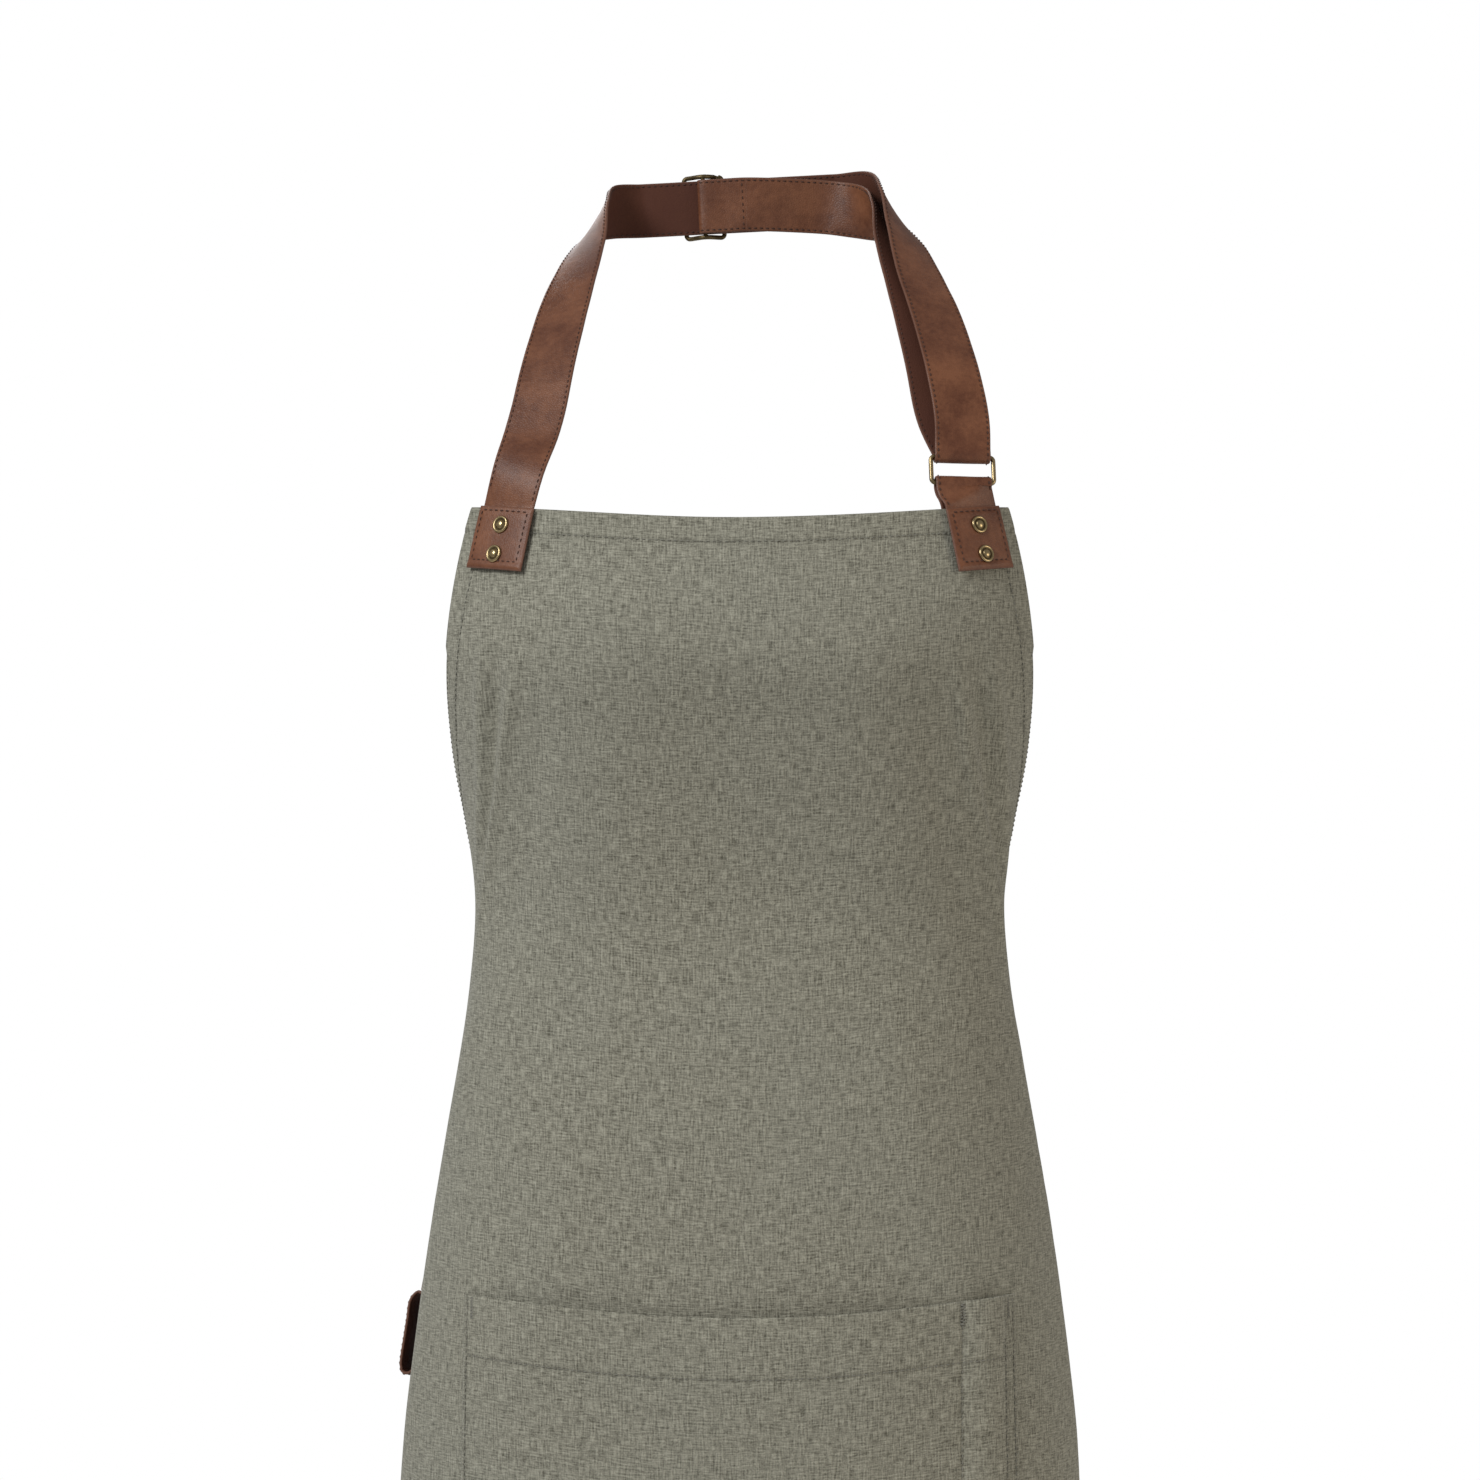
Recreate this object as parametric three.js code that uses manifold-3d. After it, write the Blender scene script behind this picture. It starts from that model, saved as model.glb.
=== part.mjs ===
// Bib apron with an adjustable leather neck strap, in the shape it takes on its wearer.
// Millimetres, +Z up. The wearer faces -Y, and +X is at the right of someone who faces the wearer.
// The origin is the middle of the neck strap behind the nape, where the apron hangs.
//
// Places on the cloth are given as on the flat cut cloth: ARC is the distance across from the
// centre line, and DOWN is the distance below the bib's top edge. onCloth() bends them to the body.

import * as THREE from "three";
import { mergeVertices } from "three/addons/utils/BufferGeometryUtils.js";
import Module from "manifold-3d";

const wasm = await Module();
wasm.setup();

// ---------------------------------------------------------------- driving dimensions

const CLEAR = 0.4; // clearance between pieces that touch on the real apron
const FACET_CLEAR = 1.6; // clearance behind the panel, whose facets cut inside its true curve
const FOLD_CLEAR = 0.6; // clearance inside a fold of leather round a bar

// Cloth
const CLOTH = 1.2; // panel thickness, with the fold of its hems
const PANEL_LENGTH = 860; // flat, top edge to hem
const PANEL_HALF_WIDTH = 360; // flat, at and below the waist ties
const BIB_HALF_WIDTH = 136; // flat, at the top edge
const ARMHOLE_DEPTH = 300; // top edge to the waist corners
const BIB_TOP_Z = -166; // top edge at the centre line
const CORNER_LIFT = 7; // how much higher the cloth hangs at the bib corners than at its middle
const CORNER_LIFT_ARC = 160; // where that lift is complete
const DRAPE = 0.988; // height taken up by a millimetre of cloth

const FACING_WIDTH = 11;
const FACING_THICKNESS = 0.8;
const FACING_START = 0.21; // share of the armhole curve that has a turned hem instead

const POCKET_HALF_WIDTH = 140;
const POCKET_TOP = 381;
const POCKET_HEIGHT = 200;
const POCKET_THICKNESS = 1;
const POCKET_GAPE = 9.4; // how far the pocket stands off the panel in the middle of its mouth
const PEN_SLOT_WIDTH = 33;
const PEN_SLOT_GAPE = 8.6;

const TIE_WIDTH = 36;
const TIE_THICKNESS = 1.2;
const TIE_LAP = 28; // how far a tie is sewn in behind the panel's edge
const TIE_DROP = 15; // below the waist corner
const TAIL_LENGTHS = { left: 300, right: 275 };
const KNOT = { width: 26, depth: 15, height: 32 };
const BOW_LOOP = { length: 92, height: 40, depth: 11, droop: 20 };

// Leather
const LEATHER = 1.5;
const STRAP_WIDTH = 27.2;
const PATCH = { topMargin: 1.2, footMargin: 2.8, height: 31, thickness: 1.4, arc: 117.8 };
const PATCH_TILT = THREE.MathUtils.degToRad(15.4); // the patches lean out going down
const PATCH_SLOPE = 0.042; // a patch's top and foot drop this much towards the centre line
const TAB_TOP = STRAP_WIDTH / 2 + 0.2; // ring's lower bar above the bib's top edge, along the tab
const TOWEL_LOOP = { arc: -250, top: 381, width: 25, length: 41, sewn: 10, gap: 4.8 };

// Metal
// The ring's height is between wire centres. "up" and "bars" are the way it hangs and the way its bars run.
const RING = { clear: 0.6, height: 12.9, wire: 1.1, corner: 1.6, up: [-0.03, 0.22, 0.97], bars: [0.98, 0.19, 0] };
const RING_WIDTH = STRAP_WIDTH + 2 * (RING.clear + RING.wire); // between wire centres
const SLIDER = { x: -18.2, halfLength: 9.6, bar: 1.1, rail: 1.15 };
const SLIDER_CLEAR = 0.6; // strap edge to rail
const NAPE_SLOPE = THREE.MathUtils.degToRad(3); // the strap rises towards +X behind the nape
const STITCH_X = 3; // end of the strap's sewn end loop
const RIVET = { cap: 4.3, back: 4, post: 1.25, hole: 1.75, first: 9.2, pitch: 14.9 };

// ---------------------------------------------------------------- the wearer's body

const BODY_Y = -75; // vertical axis of the body
const ROUNDNESS = 2.3; // exponent of the body's rounded sections: 2 would be an ellipse
const LEVELS = [-1020, -760, -634, -546, -467, -389, -349, -310, -271, -226, -160];
const SIDES = [177, 171, 165.7, 156.7, 144, 132, 129.5, 134.5, 142.5, 152.5, 151];
const DEPTHS = [118, 114, 111, 107, 98, 86, 84, 92, 104, 117, 96];
const sideAt = new THREE.CubicInterpolant(LEVELS, SIDES, 1);
const depthAt = new THREE.CubicInterpolant(LEVELS, DEPTHS, 1);
const ARC_STEPS = 120;

// One horizontal section of the body as points from the front centre to the back centre,
// with the distance walked at each point.
function section(z) {
  const side = sideAt.evaluate(z)[0];
  const depth = depthAt.evaluate(z)[0];
  const points = [];
  let walked = 0;
  for (let i = 0; i <= ARC_STEPS; i++) {
    const angle = (Math.PI * i) / ARC_STEPS;
    const c = Math.cos(angle);
    const x = side * Math.sin(angle) ** (2 / ROUNDNESS);
    const y = BODY_Y - depth * Math.sign(c) * Math.abs(c) ** (2 / ROUNDNESS);
    const last = points.at(-1);
    if (last) walked += Math.hypot(x - last.x, y - last.y);
    points.push({ x, y, walked });
  }
  return points;
}

// Distance round the body from the front centre to the back centre.
function halfGirth(z) {
  return section(z).at(-1).walked;
}

// Point on the body at a height, a distance round from the front centre.
function onBody(arc, z) {
  const points = section(z);
  const far = Math.min(Math.abs(arc), points.at(-1).walked);
  let i = 1;
  while (i < ARC_STEPS && points[i].walked < far) i++;
  const a = points[i - 1];
  const b = points[i];
  const k = (far - a.walked) / (b.walked - a.walked);
  const x = a.x + k * (b.x - a.x);
  return new THREE.Vector3(Math.sign(arc) * x, a.y + k * (b.y - a.y), z);
}

// ---------------------------------------------------------------- places on the cloth

function clothHeight(arc, down) {
  const k = Math.min(Math.abs(arc) / CORNER_LIFT_ARC, 1);
  const lift = (CORNER_LIFT * (1 - Math.cos(Math.PI * k))) / 2;
  return BIB_TOP_Z + lift - down * DRAPE;
}

function clothPoint(arc, down) {
  return onBody(arc, clothHeight(arc, down));
}

// The cloth's outward normal, from the slopes across and down.
function clothNormal(arc, down) {
  const step = 2;
  const across = clothPoint(arc + step, down).sub(clothPoint(arc - step, down));
  const along = clothPoint(arc, down + step).sub(clothPoint(arc, down - step));
  return along.cross(across).normalize();
}

// Point at an offset from the middle of the panel's thickness, outwards positive.
function onCloth(arc, down, offset = 0) {
  return clothPoint(arc, down).addScaledVector(clothNormal(arc, down), offset);
}

const armhole = new THREE.CubicBezierCurve(
  new THREE.Vector2(BIB_HALF_WIDTH, 0),
  new THREE.Vector2(BIB_HALF_WIDTH + 50, 0.35 * ARMHOLE_DEPTH),
  new THREE.Vector2(BIB_HALF_WIDTH + 40, ARMHOLE_DEPTH - 38),
  new THREE.Vector2(PANEL_HALF_WIDTH, ARMHOLE_DEPTH),
);

// ---------------------------------------------------------------- solids

function materialOf(color, roughness, metalness = 0) {
  return () => new THREE.MeshStandardMaterial({ color, roughness, metalness });
}
const chambray = materialOf(0x7d7a6c, 0.92);
const brownLeather = materialOf(0x6b3d28, 0.55);
const antiqueBrass = materialOf(0x6f5a35, 0.42, 1);

// Closed geometry with shared vertices and its faces pointing out.
function closed(geometry) {
  geometry.deleteAttribute("normal");
  geometry.deleteAttribute("uv");
  const merged = mergeVertices(geometry, 1e-4);
  const index = merged.index.array;
  const at = merged.getAttribute("position");
  const [a, b, c] = [new THREE.Vector3(), new THREE.Vector3(), new THREE.Vector3()];
  let volume = 0;
  for (let i = 0; i < index.length; i += 3) {
    a.fromBufferAttribute(at, index[i]);
    b.fromBufferAttribute(at, index[i + 1]);
    c.fromBufferAttribute(at, index[i + 2]);
    volume += a.dot(b.cross(c));
  }
  if (volume < 0)
    for (let i = 0; i < index.length; i += 3) [index[i + 1], index[i + 2]] = [index[i + 2], index[i + 1]];
  return merged;
}

// A subdivided box bent to a shape: place(u, v, w) gives the point for shares along its length,
// width and thickness.
function bent(lengthSteps, widthSteps, place) {
  const geometry = new THREE.BoxGeometry(1, 1, 1, lengthSteps, widthSteps, 1);
  const at = geometry.getAttribute("position");
  for (let i = 0; i < at.count; i++) {
    const p = place(at.getX(i) + 0.5, at.getY(i) + 0.5, at.getZ(i) + 0.5);
    at.setXYZ(i, p.x, p.y, p.z);
  }
  return closed(geometry);
}

function toManifold(geometry) {
  const at = geometry.getAttribute("position").array;
  return new wasm.Manifold(
    new wasm.Mesh({
      numProp: 3,
      vertProperties: new Float32Array(at),
      triVerts: new Uint32Array(geometry.index.array),
    }),
  );
}

function fromManifold(solid) {
  const mesh = solid.getMesh();
  return new THREE.BufferGeometry()
    .setAttribute("position", new THREE.BufferAttribute(mesh.vertProperties, 3))
    .setIndex(new THREE.BufferAttribute(mesh.triVerts, 1));
}

function cut(geometry, cutters) {
  let solid = toManifold(geometry);
  for (const cutter of cutters) solid = solid.subtract(toManifold(cutter));
  return fromManifold(solid);
}

function join(geometries) {
  const [first, ...others] = geometries.map(toManifold);
  return fromManifold(others.reduce((all, one) => all.add(one), first));
}

const apron = new THREE.Group();

function add(name, geometry, material) {
  const mesh = new THREE.Mesh(geometry, material());
  mesh.name = name;
  apron.add(mesh);
  return mesh;
}

// ---------------------------------------------------------------- corner patches and rivets

// Place on the cloth for a point of a patch: x across it, y down from the bib's edge.
function onPatch(side, x, y) {
  const middle = PATCH.height / 2;
  const arc = side * PATCH.arc + x * Math.cos(PATCH_TILT) + side * (y - middle) * Math.sin(PATCH_TILT);
  const down = middle + (y - middle) * Math.cos(PATCH_TILT) - side * x * Math.sin(PATCH_TILT);
  return [arc, down];
}

// Layers at a patch, as offsets from the middle of the panel.
const STRAP_ON_CLOTH = CLOTH / 2 + CLEAR + LEATHER / 2;
const PATCH_INNER = STRAP_ON_CLOTH + LEATHER / 2 + CLEAR;
const PATCH_OUTER = PATCH_INNER + PATCH.thickness;
const BACKING_OUTER = -(CLOTH / 2 + 3 * CLEAR);
const BACKING_LAYER = [BACKING_OUTER - LEATHER, BACKING_OUTER];

// A strap's width of leather at a patch, between two heights y and between two offsets.
function strapLayer(side, [top, foot], [inner, outer]) {
  return bent(6, 6, (u, v, w) => {
    const [arc, down] = onPatch(side, (u - 0.5) * STRAP_WIDTH, THREE.MathUtils.lerp(top, foot, v));
    return onCloth(arc, down, THREE.MathUtils.lerp(inner, outer, w));
  });
}

// The patch itself: its top and foot are nearly level and its sides lean with the strap.
function patchPlate(side) {
  const half = STRAP_WIDTH / 2;
  return bent(6, 6, (u, v, w) => {
    const x = (2 * u - 1) * (half + THREE.MathUtils.lerp(PATCH.topMargin, PATCH.footMargin, v));
    const lean = side * (v - 0.5) * PATCH.height * Math.tan(PATCH_TILT);
    const down = v * PATCH.height - side * x * PATCH_SLOPE;
    return onCloth(side * PATCH.arc + x + lean, down, THREE.MathUtils.lerp(PATCH_INNER, PATCH_OUTER, w));
  });
}

function rivetSeats(side) {
  return [0, 1].map((i) => {
    const [arc, down] = onPatch(side, 0, RIVET.first + i * RIVET.pitch);
    return { point: onCloth(arc, down), normal: clothNormal(arc, down) };
  });
}

function turnTo(object, seat) {
  object.position.copy(seat.point);
  object.quaternion.setFromUnitVectors(new THREE.Vector3(0, 1, 0), seat.normal);
  object.updateMatrix();
  return object;
}

function rivetHoles(side) {
  return rivetSeats(side).map((seat) => {
    const drill = turnTo(new THREE.Object3D(), seat);
    const hole = new THREE.CylinderGeometry(RIVET.hole, RIVET.hole, 30, 10);
    return closed(hole.applyMatrix4(drill.matrix));
  });
}

function lathe(profile, segments = 14) {
  return closed(new THREE.LatheGeometry(profile.map(([r, h]) => new THREE.Vector2(r, h)), segments));
}

// A capped rivet: the cap with its post goes in from the front, the back is pressed on behind.
function addRivets(name, side, backingInner) {
  const seat = PATCH_OUTER + CLEAR;
  const floor = backingInner - CLEAR;
  const tip = floor - 0.9;
  const cap = [
    [0, tip],
    [RIVET.post, tip],
    [RIVET.post, seat],
    [RIVET.cap, seat],
    [RIVET.cap, seat + 0.7],
    [RIVET.cap - 0.6, seat + 1.3],
    [RIVET.cap - 1.4, seat + 1.1],
    [RIVET.cap - 1.9, seat + 0.8],
    [RIVET.cap - 2.6, seat + 1.4],
    [0, seat + 1.7],
  ];
  const back = [
    [0, tip - 0.4],
    [RIVET.hole, tip - 0.4],
    [RIVET.hole, floor],
    [RIVET.back, floor],
    [RIVET.back, floor - 0.9],
    [RIVET.back - 0.8, floor - 1.7],
    [0, floor - 2],
  ];
  rivetSeats(side).forEach((place, i) => {
    const row = i === 0 ? "upper" : "lower";
    turnTo(add(`${name}_rivet_cap_${row}`, lathe(cap), antiqueBrass), place);
    turnTo(add(`${name}_rivet_back_${row}`, lathe(back), antiqueBrass), place);
  });
}

// ---------------------------------------------------------------- front panel and facings

const UPPER_ROWS = 18;
const ROW_HEIGHT = 56; // of a row of facets below the waist corners
const LOWER_ROWS = Math.ceil((PANEL_LENGTH - ARMHOLE_DEPTH) / ROW_HEIGHT);
const PANEL_COLUMNS = 36;

function panelRow(v) {
  const waist = UPPER_ROWS / (UPPER_ROWS + LOWER_ROWS);
  if (v < waist) {
    const { x, y } = armhole.getPoint(v / waist);
    return { half: x, down: y };
  }
  const k = (v - waist) / (1 - waist);
  return { half: PANEL_HALF_WIDTH, down: THREE.MathUtils.lerp(ARMHOLE_DEPTH, PANEL_LENGTH, k) };
}

function addPanel() {
  const sheet = bent(PANEL_COLUMNS, UPPER_ROWS + LOWER_ROWS, (u, v, w) => {
    const { half, down } = panelRow(v);
    return onCloth((2 * u - 1) * half, down, (w - 0.5) * CLOTH);
  });
  add("front_panel", cut(sheet, [...rivetHoles(-1), ...rivetHoles(1)]), chambray);
}

// Bias strip behind the curved part of an armhole edge.
function addFacing(name, side) {
  const outer = -(CLOTH / 2 + FACET_CLEAR);
  const strip = bent(28, 1, (u, v, w) => {
    const t = THREE.MathUtils.lerp(FACING_START, 0.985, u);
    const edge = armhole.getPoint(t);
    const along = armhole.getTangent(t);
    const inset = 0.6 + v * FACING_WIDTH;
    const arc = side * (edge.x - along.y * inset);
    return onCloth(arc, edge.y + along.x * inset, outer - w * FACING_THICKNESS);
  });
  add(name, strip, chambray);
}

// ---------------------------------------------------------------- pocket

const SEAM_INSET = 6; // width of the flat sewn border of the pocket

// How far the pocket stands off the panel: sewn flat along its sides, its foot and the
// pen slot's divider, and gaping in between.
function pocketGape(arc, share) {
  const divider = POCKET_HALF_WIDTH - PEN_SLOT_WIDTH;
  const border = POCKET_HALF_WIDTH - SEAM_INSET;
  const rise = (x, low, high) => Math.sin(Math.PI * THREE.MathUtils.clamp((x - low) / (high - low), 0, 1));
  const main = POCKET_GAPE * Math.min(1, 1.6 * rise(arc, -border, divider));
  const pen = PEN_SLOT_GAPE * rise(arc, divider, border);
  const foot = Math.min(1, Math.sin((Math.PI / 2) * THREE.MathUtils.clamp((0.97 - share) * 1.5, 0, 1)));
  return CLEAR + (arc < divider ? main : pen) * foot;
}

function addPocket() {
  const inner = CLOTH / 2 + 0.1;
  const sheet = bent(40, 9, (u, v, w) => {
    const arc = (2 * u - 1) * POCKET_HALF_WIDTH;
    const stand = pocketGape(arc, v);
    return onCloth(arc, POCKET_TOP + v * POCKET_HEIGHT, inner + stand + w * POCKET_THICKNESS);
  });
  add("front_pocket", sheet, chambray);
}

// ---------------------------------------------------------------- leather strap

const vec = (x, y, z) => new THREE.Vector3(x, y, z);

// A strap's route: stations with the way its grain side looks.
class Route {
  constructor(stations) {
    this.spans = stations.length - 1;
    this.middle = new THREE.CatmullRomCurve3(stations.map((s) => s.at), false, "centripetal");
    this.faces = new THREE.CatmullRomCurve3(stations.map((s) => s.face), false, "centripetal");
  }
  frame(k) {
    const t = THREE.MathUtils.clamp(k / this.spans, 0, 1);
    const along = this.middle.getTangent(t);
    const face = this.faces.getPoint(t);
    const across = along.clone().cross(face).normalize();
    return { at: this.middle.getPoint(t), along, across, face: across.clone().cross(along) };
  }
}

// The strap leather along a route from station k0 to station k1.
function strip(route, k0, k1, stepsPerSpan, width = STRAP_WIDTH, thickness = LEATHER) {
  const steps = Math.max(2, Math.round((k1 - k0) * stepsPerSpan));
  return bent(steps, 1, (u, v, w) => {
    const f = route.frame(THREE.MathUtils.lerp(k0, k1, u));
    return f.at.addScaledVector(f.across, (v - 0.5) * width).addScaledVector(f.face, (w - 0.5) * thickness);
  });
}

// The strap's legs lie on the cloth under a patch and follow its curve. LEG is their reach, from
// just above the bib's edge, where the free strap starts, down to near the patch's foot.
const LEG = [-6.4, PATCH.height - 3];
const FREE_START = -5;

function legOnPatch(side, offset) {
  const around = [offset - LEATHER / 2, offset + LEATHER / 2];
  return strapLayer(side, LEG, around);
}

function stationAtEdge(side, offset, outward = 1) {
  const [arc, down] = onPatch(side, 0, FREE_START);
  return { at: onCloth(arc, down, offset), face: clothNormal(arc, down).multiplyScalar(outward) };
}

// The rise from the bib's edge over the chest and the side of the neck, for the +X side.
const RISE = [
  { at: [98, -131, -116.5], face: [0.18, -0.9, 0.4] },
  { at: [92.4, -113.5, -87.6], face: [0.25, -0.83, 0.5] },
  { at: [85.7, -89, -58], face: [0.36, -0.72, 0.6] },
  { at: [77.1, -58, -28], face: [0.6, -0.45, 0.66] },
  { at: [71.5, -32, -11], face: [0.88, -0.1, 0.45] },
];
// The slack outer run on the +X side stands further out than the rise.
const OUTER_RUN = [
  { at: [64.5, -7, 3.2], face: [0.75, 0.62, 0.2] },
  { at: [75, -31, -4], face: [0.9, -0.08, 0.42] },
  { at: [82, -52, -20], face: [0.68, -0.42, 0.6] },
  { at: [88.6, -75, -42], face: [0.45, -0.66, 0.6] },
  { at: [96.2, -98, -66], face: [0.32, -0.78, 0.54] },
  { at: [102.4, -121, -92], face: [0.25, -0.85, 0.46] },
  { at: [106.4, -135, -117], face: [0.2, -0.9, 0.38] },
];

const place = (side, station) => ({
  at: vec(side * station.at[0], station.at[1], station.at[2]),
  face: vec(side * station.face[0], station.face[1], station.face[2]),
});
const turned = (station) => ({ at: station.at, face: station.face.clone().negate() });

// Behind the nape the strap runs straight: a point x along it, y off it.
const napeAlong = vec(Math.cos(NAPE_SLOPE), 0, Math.sin(NAPE_SLOPE));
const napeUp = vec(-Math.sin(NAPE_SLOPE), 0, Math.cos(NAPE_SLOPE));
const onNape = (x, y, up = 0) => napeAlong.clone().multiplyScalar(x).addScaledVector(napeUp, up).add(vec(0, y, 0));
const napeStation = (x, y, faceY) => ({ at: onNape(x, y), face: vec(0, faceY, 0) });

// The route that the tab and the ring follow above the bib's edge on the +X side.
const ringLine = new Route([stationAtEdge(1, 0), ...RISE.slice(0, 2).map((s) => place(1, s))]);

// Frame on that route at a distance above the bib's edge.
function aboveBib(distance) {
  const start = ringLine.frame(0).at;
  let k = 0;
  while (ringLine.frame(k).at.distanceTo(start) < distance + FREE_START) k += 0.01;
  return ringLine.frame(k);
}
// The ring hangs nearly upright and square to the front, so the tab twists a little to reach it.
const lowerBar = aboveBib(TAB_TOP);
const ringUp = vec(...RING.up).normalize();
const ringFace = vec(...RING.bars).cross(ringUp).normalize();
const ringAcross = ringUp.clone().cross(ringFace);
const upperBar = lowerBar.at.clone().addScaledVector(ringUp, RING.height);
const WRAP = RING.wire + FOLD_CLEAR + LEATHER / 2; // leather's middle from the wire's middle

const STRAIGHT = 3; // length of leather that runs straight off a bar, each side

// Stations round a bar, from its face side over the end that "way" names to its back.
function roundBar(middle, way) {
  const stations = [0, 45, 90, 135, 180].map((degrees) => {
    const angle = THREE.MathUtils.degToRad(degrees);
    const out = ringFace.clone().multiplyScalar(Math.cos(angle)).addScaledVector(ringUp, way * Math.sin(angle));
    return { at: middle.clone().addScaledVector(out, WRAP), face: out };
  });
  const [first, last] = [stations[0], stations.at(-1)].map(({ at, face }) => ({
    at: at.clone().addScaledVector(ringUp, -way * STRAIGHT),
    face,
  }));
  return [first, ...stations, last];
}

const SLIDER_BAR_Y = -(LEATHER / 2 + CLEAR + LEATHER + CLEAR + SLIDER.bar);
const LOOP_WRAP = SLIDER.bar + CLEAR + LEATHER / 2;

// The strap's end wraps the slider's centre bar, from its near side round to its far side.
function roundSliderBar() {
  return [0, 45, 90, 135, 180].map((degrees) => {
    const angle = THREE.MathUtils.degToRad(degrees);
    const out = vec(0, -Math.cos(angle), 0).addScaledVector(napeAlong, -Math.sin(angle));
    const at = onNape(SLIDER.x, SLIDER_BAR_Y).addScaledVector(out, LOOP_WRAP);
    return { at, face: out };
  });
}

const NAPE_HALF = 50; // straight part behind the nape, each way

// The whole strap in one: left patch, nape, outer run, round the ring, back up and over to its
// own slider, and round the slider's centre bar.
const leftRise = [
  stationAtEdge(-1, STRAP_ON_CLOTH),
  ...RISE.map((s) => place(-1, s)),
  { at: vec(-63.5, -8, -4), face: vec(-0.75, 0.62, 0.2) },
];
const nape = [-1, -0.88, -0.44, 0, 0.44, 0.88, 1].map((k) => napeStation(k * NAPE_HALF, 0, 1));
const outerRun = OUTER_RUN.map((s) => place(1, s));
const ringTurn = roundBar(upperBar, -1);
const innerRun = RISE.map((s) => turned(place(1, s)));
const returnRun = [
  { at: vec(61.5, -11, -4.5), face: vec(-0.75, -0.62, -0.2) },
  { at: vec(47, -3.2, -1.4), face: vec(0, -1, 0) },
  { at: vec(26, -4.3, -0.2), face: vec(0, -1, 0) },
  napeStation(STITCH_X, SLIDER_BAR_Y - LOOP_WRAP, -1),
  napeStation((STITCH_X + SLIDER.x) / 2, SLIDER_BAR_Y - LOOP_WRAP, -1),
];
const loopEnd = [
  napeStation((STITCH_X + SLIDER.x) / 2, SLIDER_BAR_Y + LOOP_WRAP, 1),
  napeStation(STITCH_X, SLIDER_BAR_Y + LOOP_WRAP, 1),
];
const strapStations = [
  ...leftRise,
  ...nape,
  ...outerRun,
  ...ringTurn,
  ...innerRun,
  ...returnRun,
  ...roundSliderBar(),
  ...loopEnd,
];
const strapRoute = new Route(strapStations);
const SPLIT = 0.012; // of a span: the gap between the strap's lengths that move apart
const shoulderOut = leftRise.length + nape.length + 3;
const shoulderIn = leftRise.length + nape.length + outerRun.length + ringTurn.length + 2;
const stitch = strapStations.length - 2 - 5 - 2;

function addStraps() {
  const steps = 4;
  const free = strip(strapRoute, 0, shoulderOut - SPLIT, steps);
  const whole = join([legOnPatch(-1, STRAP_ON_CLOTH), free]);
  add("neck_strap", cut(whole, rivetHoles(-1)), brownLeather);
  add("strap_ring_bight", strip(strapRoute, shoulderOut + SPLIT, shoulderIn - SPLIT, steps), brownLeather);
  add("strap_return_run", strip(strapRoute, shoulderIn + SPLIT, stitch - SPLIT, steps), brownLeather);
  const end = strapStations.length - 1;
  add("strap_end_loop", strip(strapRoute, stitch + SPLIT, end, steps), brownLeather);
}

// The right tab straddles the bib's edge and is folded over the ring's lower bar.
function addTab() {
  const backOffset = BACKING_OUTER - LEATHER / 2;
  const front = stationAtEdge(1, STRAP_ON_CLOTH);
  const back = stationAtEdge(1, backOffset, -1);
  const route = new Route([front, ...roundBar(lowerBar.at, 1), back]);
  const free = strip(route, 0, route.spans, 4);
  const whole = join([legOnPatch(1, STRAP_ON_CLOTH), free, legOnPatch(1, backOffset)]);
  add("right_tab", cut(whole, rivetHoles(1)), brownLeather);
}

function addPatches() {
  for (const [name, side] of [["left", -1], ["right", 1]]) {
    add(`${name}_patch`, cut(patchPlate(side), rivetHoles(side)), brownLeather);
  }
  const backing = strapLayer(-1, [1, PATCH.height - 3], BACKING_LAYER);
  add("left_backing", cut(backing, rivetHoles(-1)), brownLeather);
  addRivets("left", -1, BACKING_OUTER - LEATHER);
  addRivets("right", 1, BACKING_OUTER - LEATHER);
}

// ---------------------------------------------------------------- ring and slider

// A rectangle with round corners, centred on the origin of the XY plane, walked at even speed.
class RoundedRectangle extends THREE.Curve {
  constructor(width, height, corner) {
    super();
    this.outline = new THREE.Path();
    const [x, y] = [width / 2 - corner, height / 2 - corner];
    this.outline.absarc(x, y, corner, 0, Math.PI / 2);
    this.outline.absarc(-x, y, corner, Math.PI / 2, Math.PI);
    this.outline.absarc(-x, -y, corner, Math.PI, Math.PI * 1.5);
    this.outline.absarc(x, -y, corner, Math.PI * 1.5, Math.PI * 2);
    this.outline.closePath();
  }
  getPoint(t, target = new THREE.Vector3()) {
    const { x, y } = this.outline.getPointAt(t % 1);
    return target.set(x, y, 0);
  }
}

function addRing() {
  const path = new RoundedRectangle(RING_WIDTH, RING.height, RING.corner);
  const wire = closed(new THREE.TubeGeometry(path, 56, RING.wire, 6, true));
  const ring = add("rectangular_ring", wire, antiqueBrass);
  ring.position.copy(lowerBar.at).addScaledVector(ringUp, RING.height / 2);
  const basis = new THREE.Matrix4().makeBasis(ringAcross, ringUp, ringAcross.clone().cross(ringUp));
  ring.quaternion.setFromRotationMatrix(basis);
}

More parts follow.
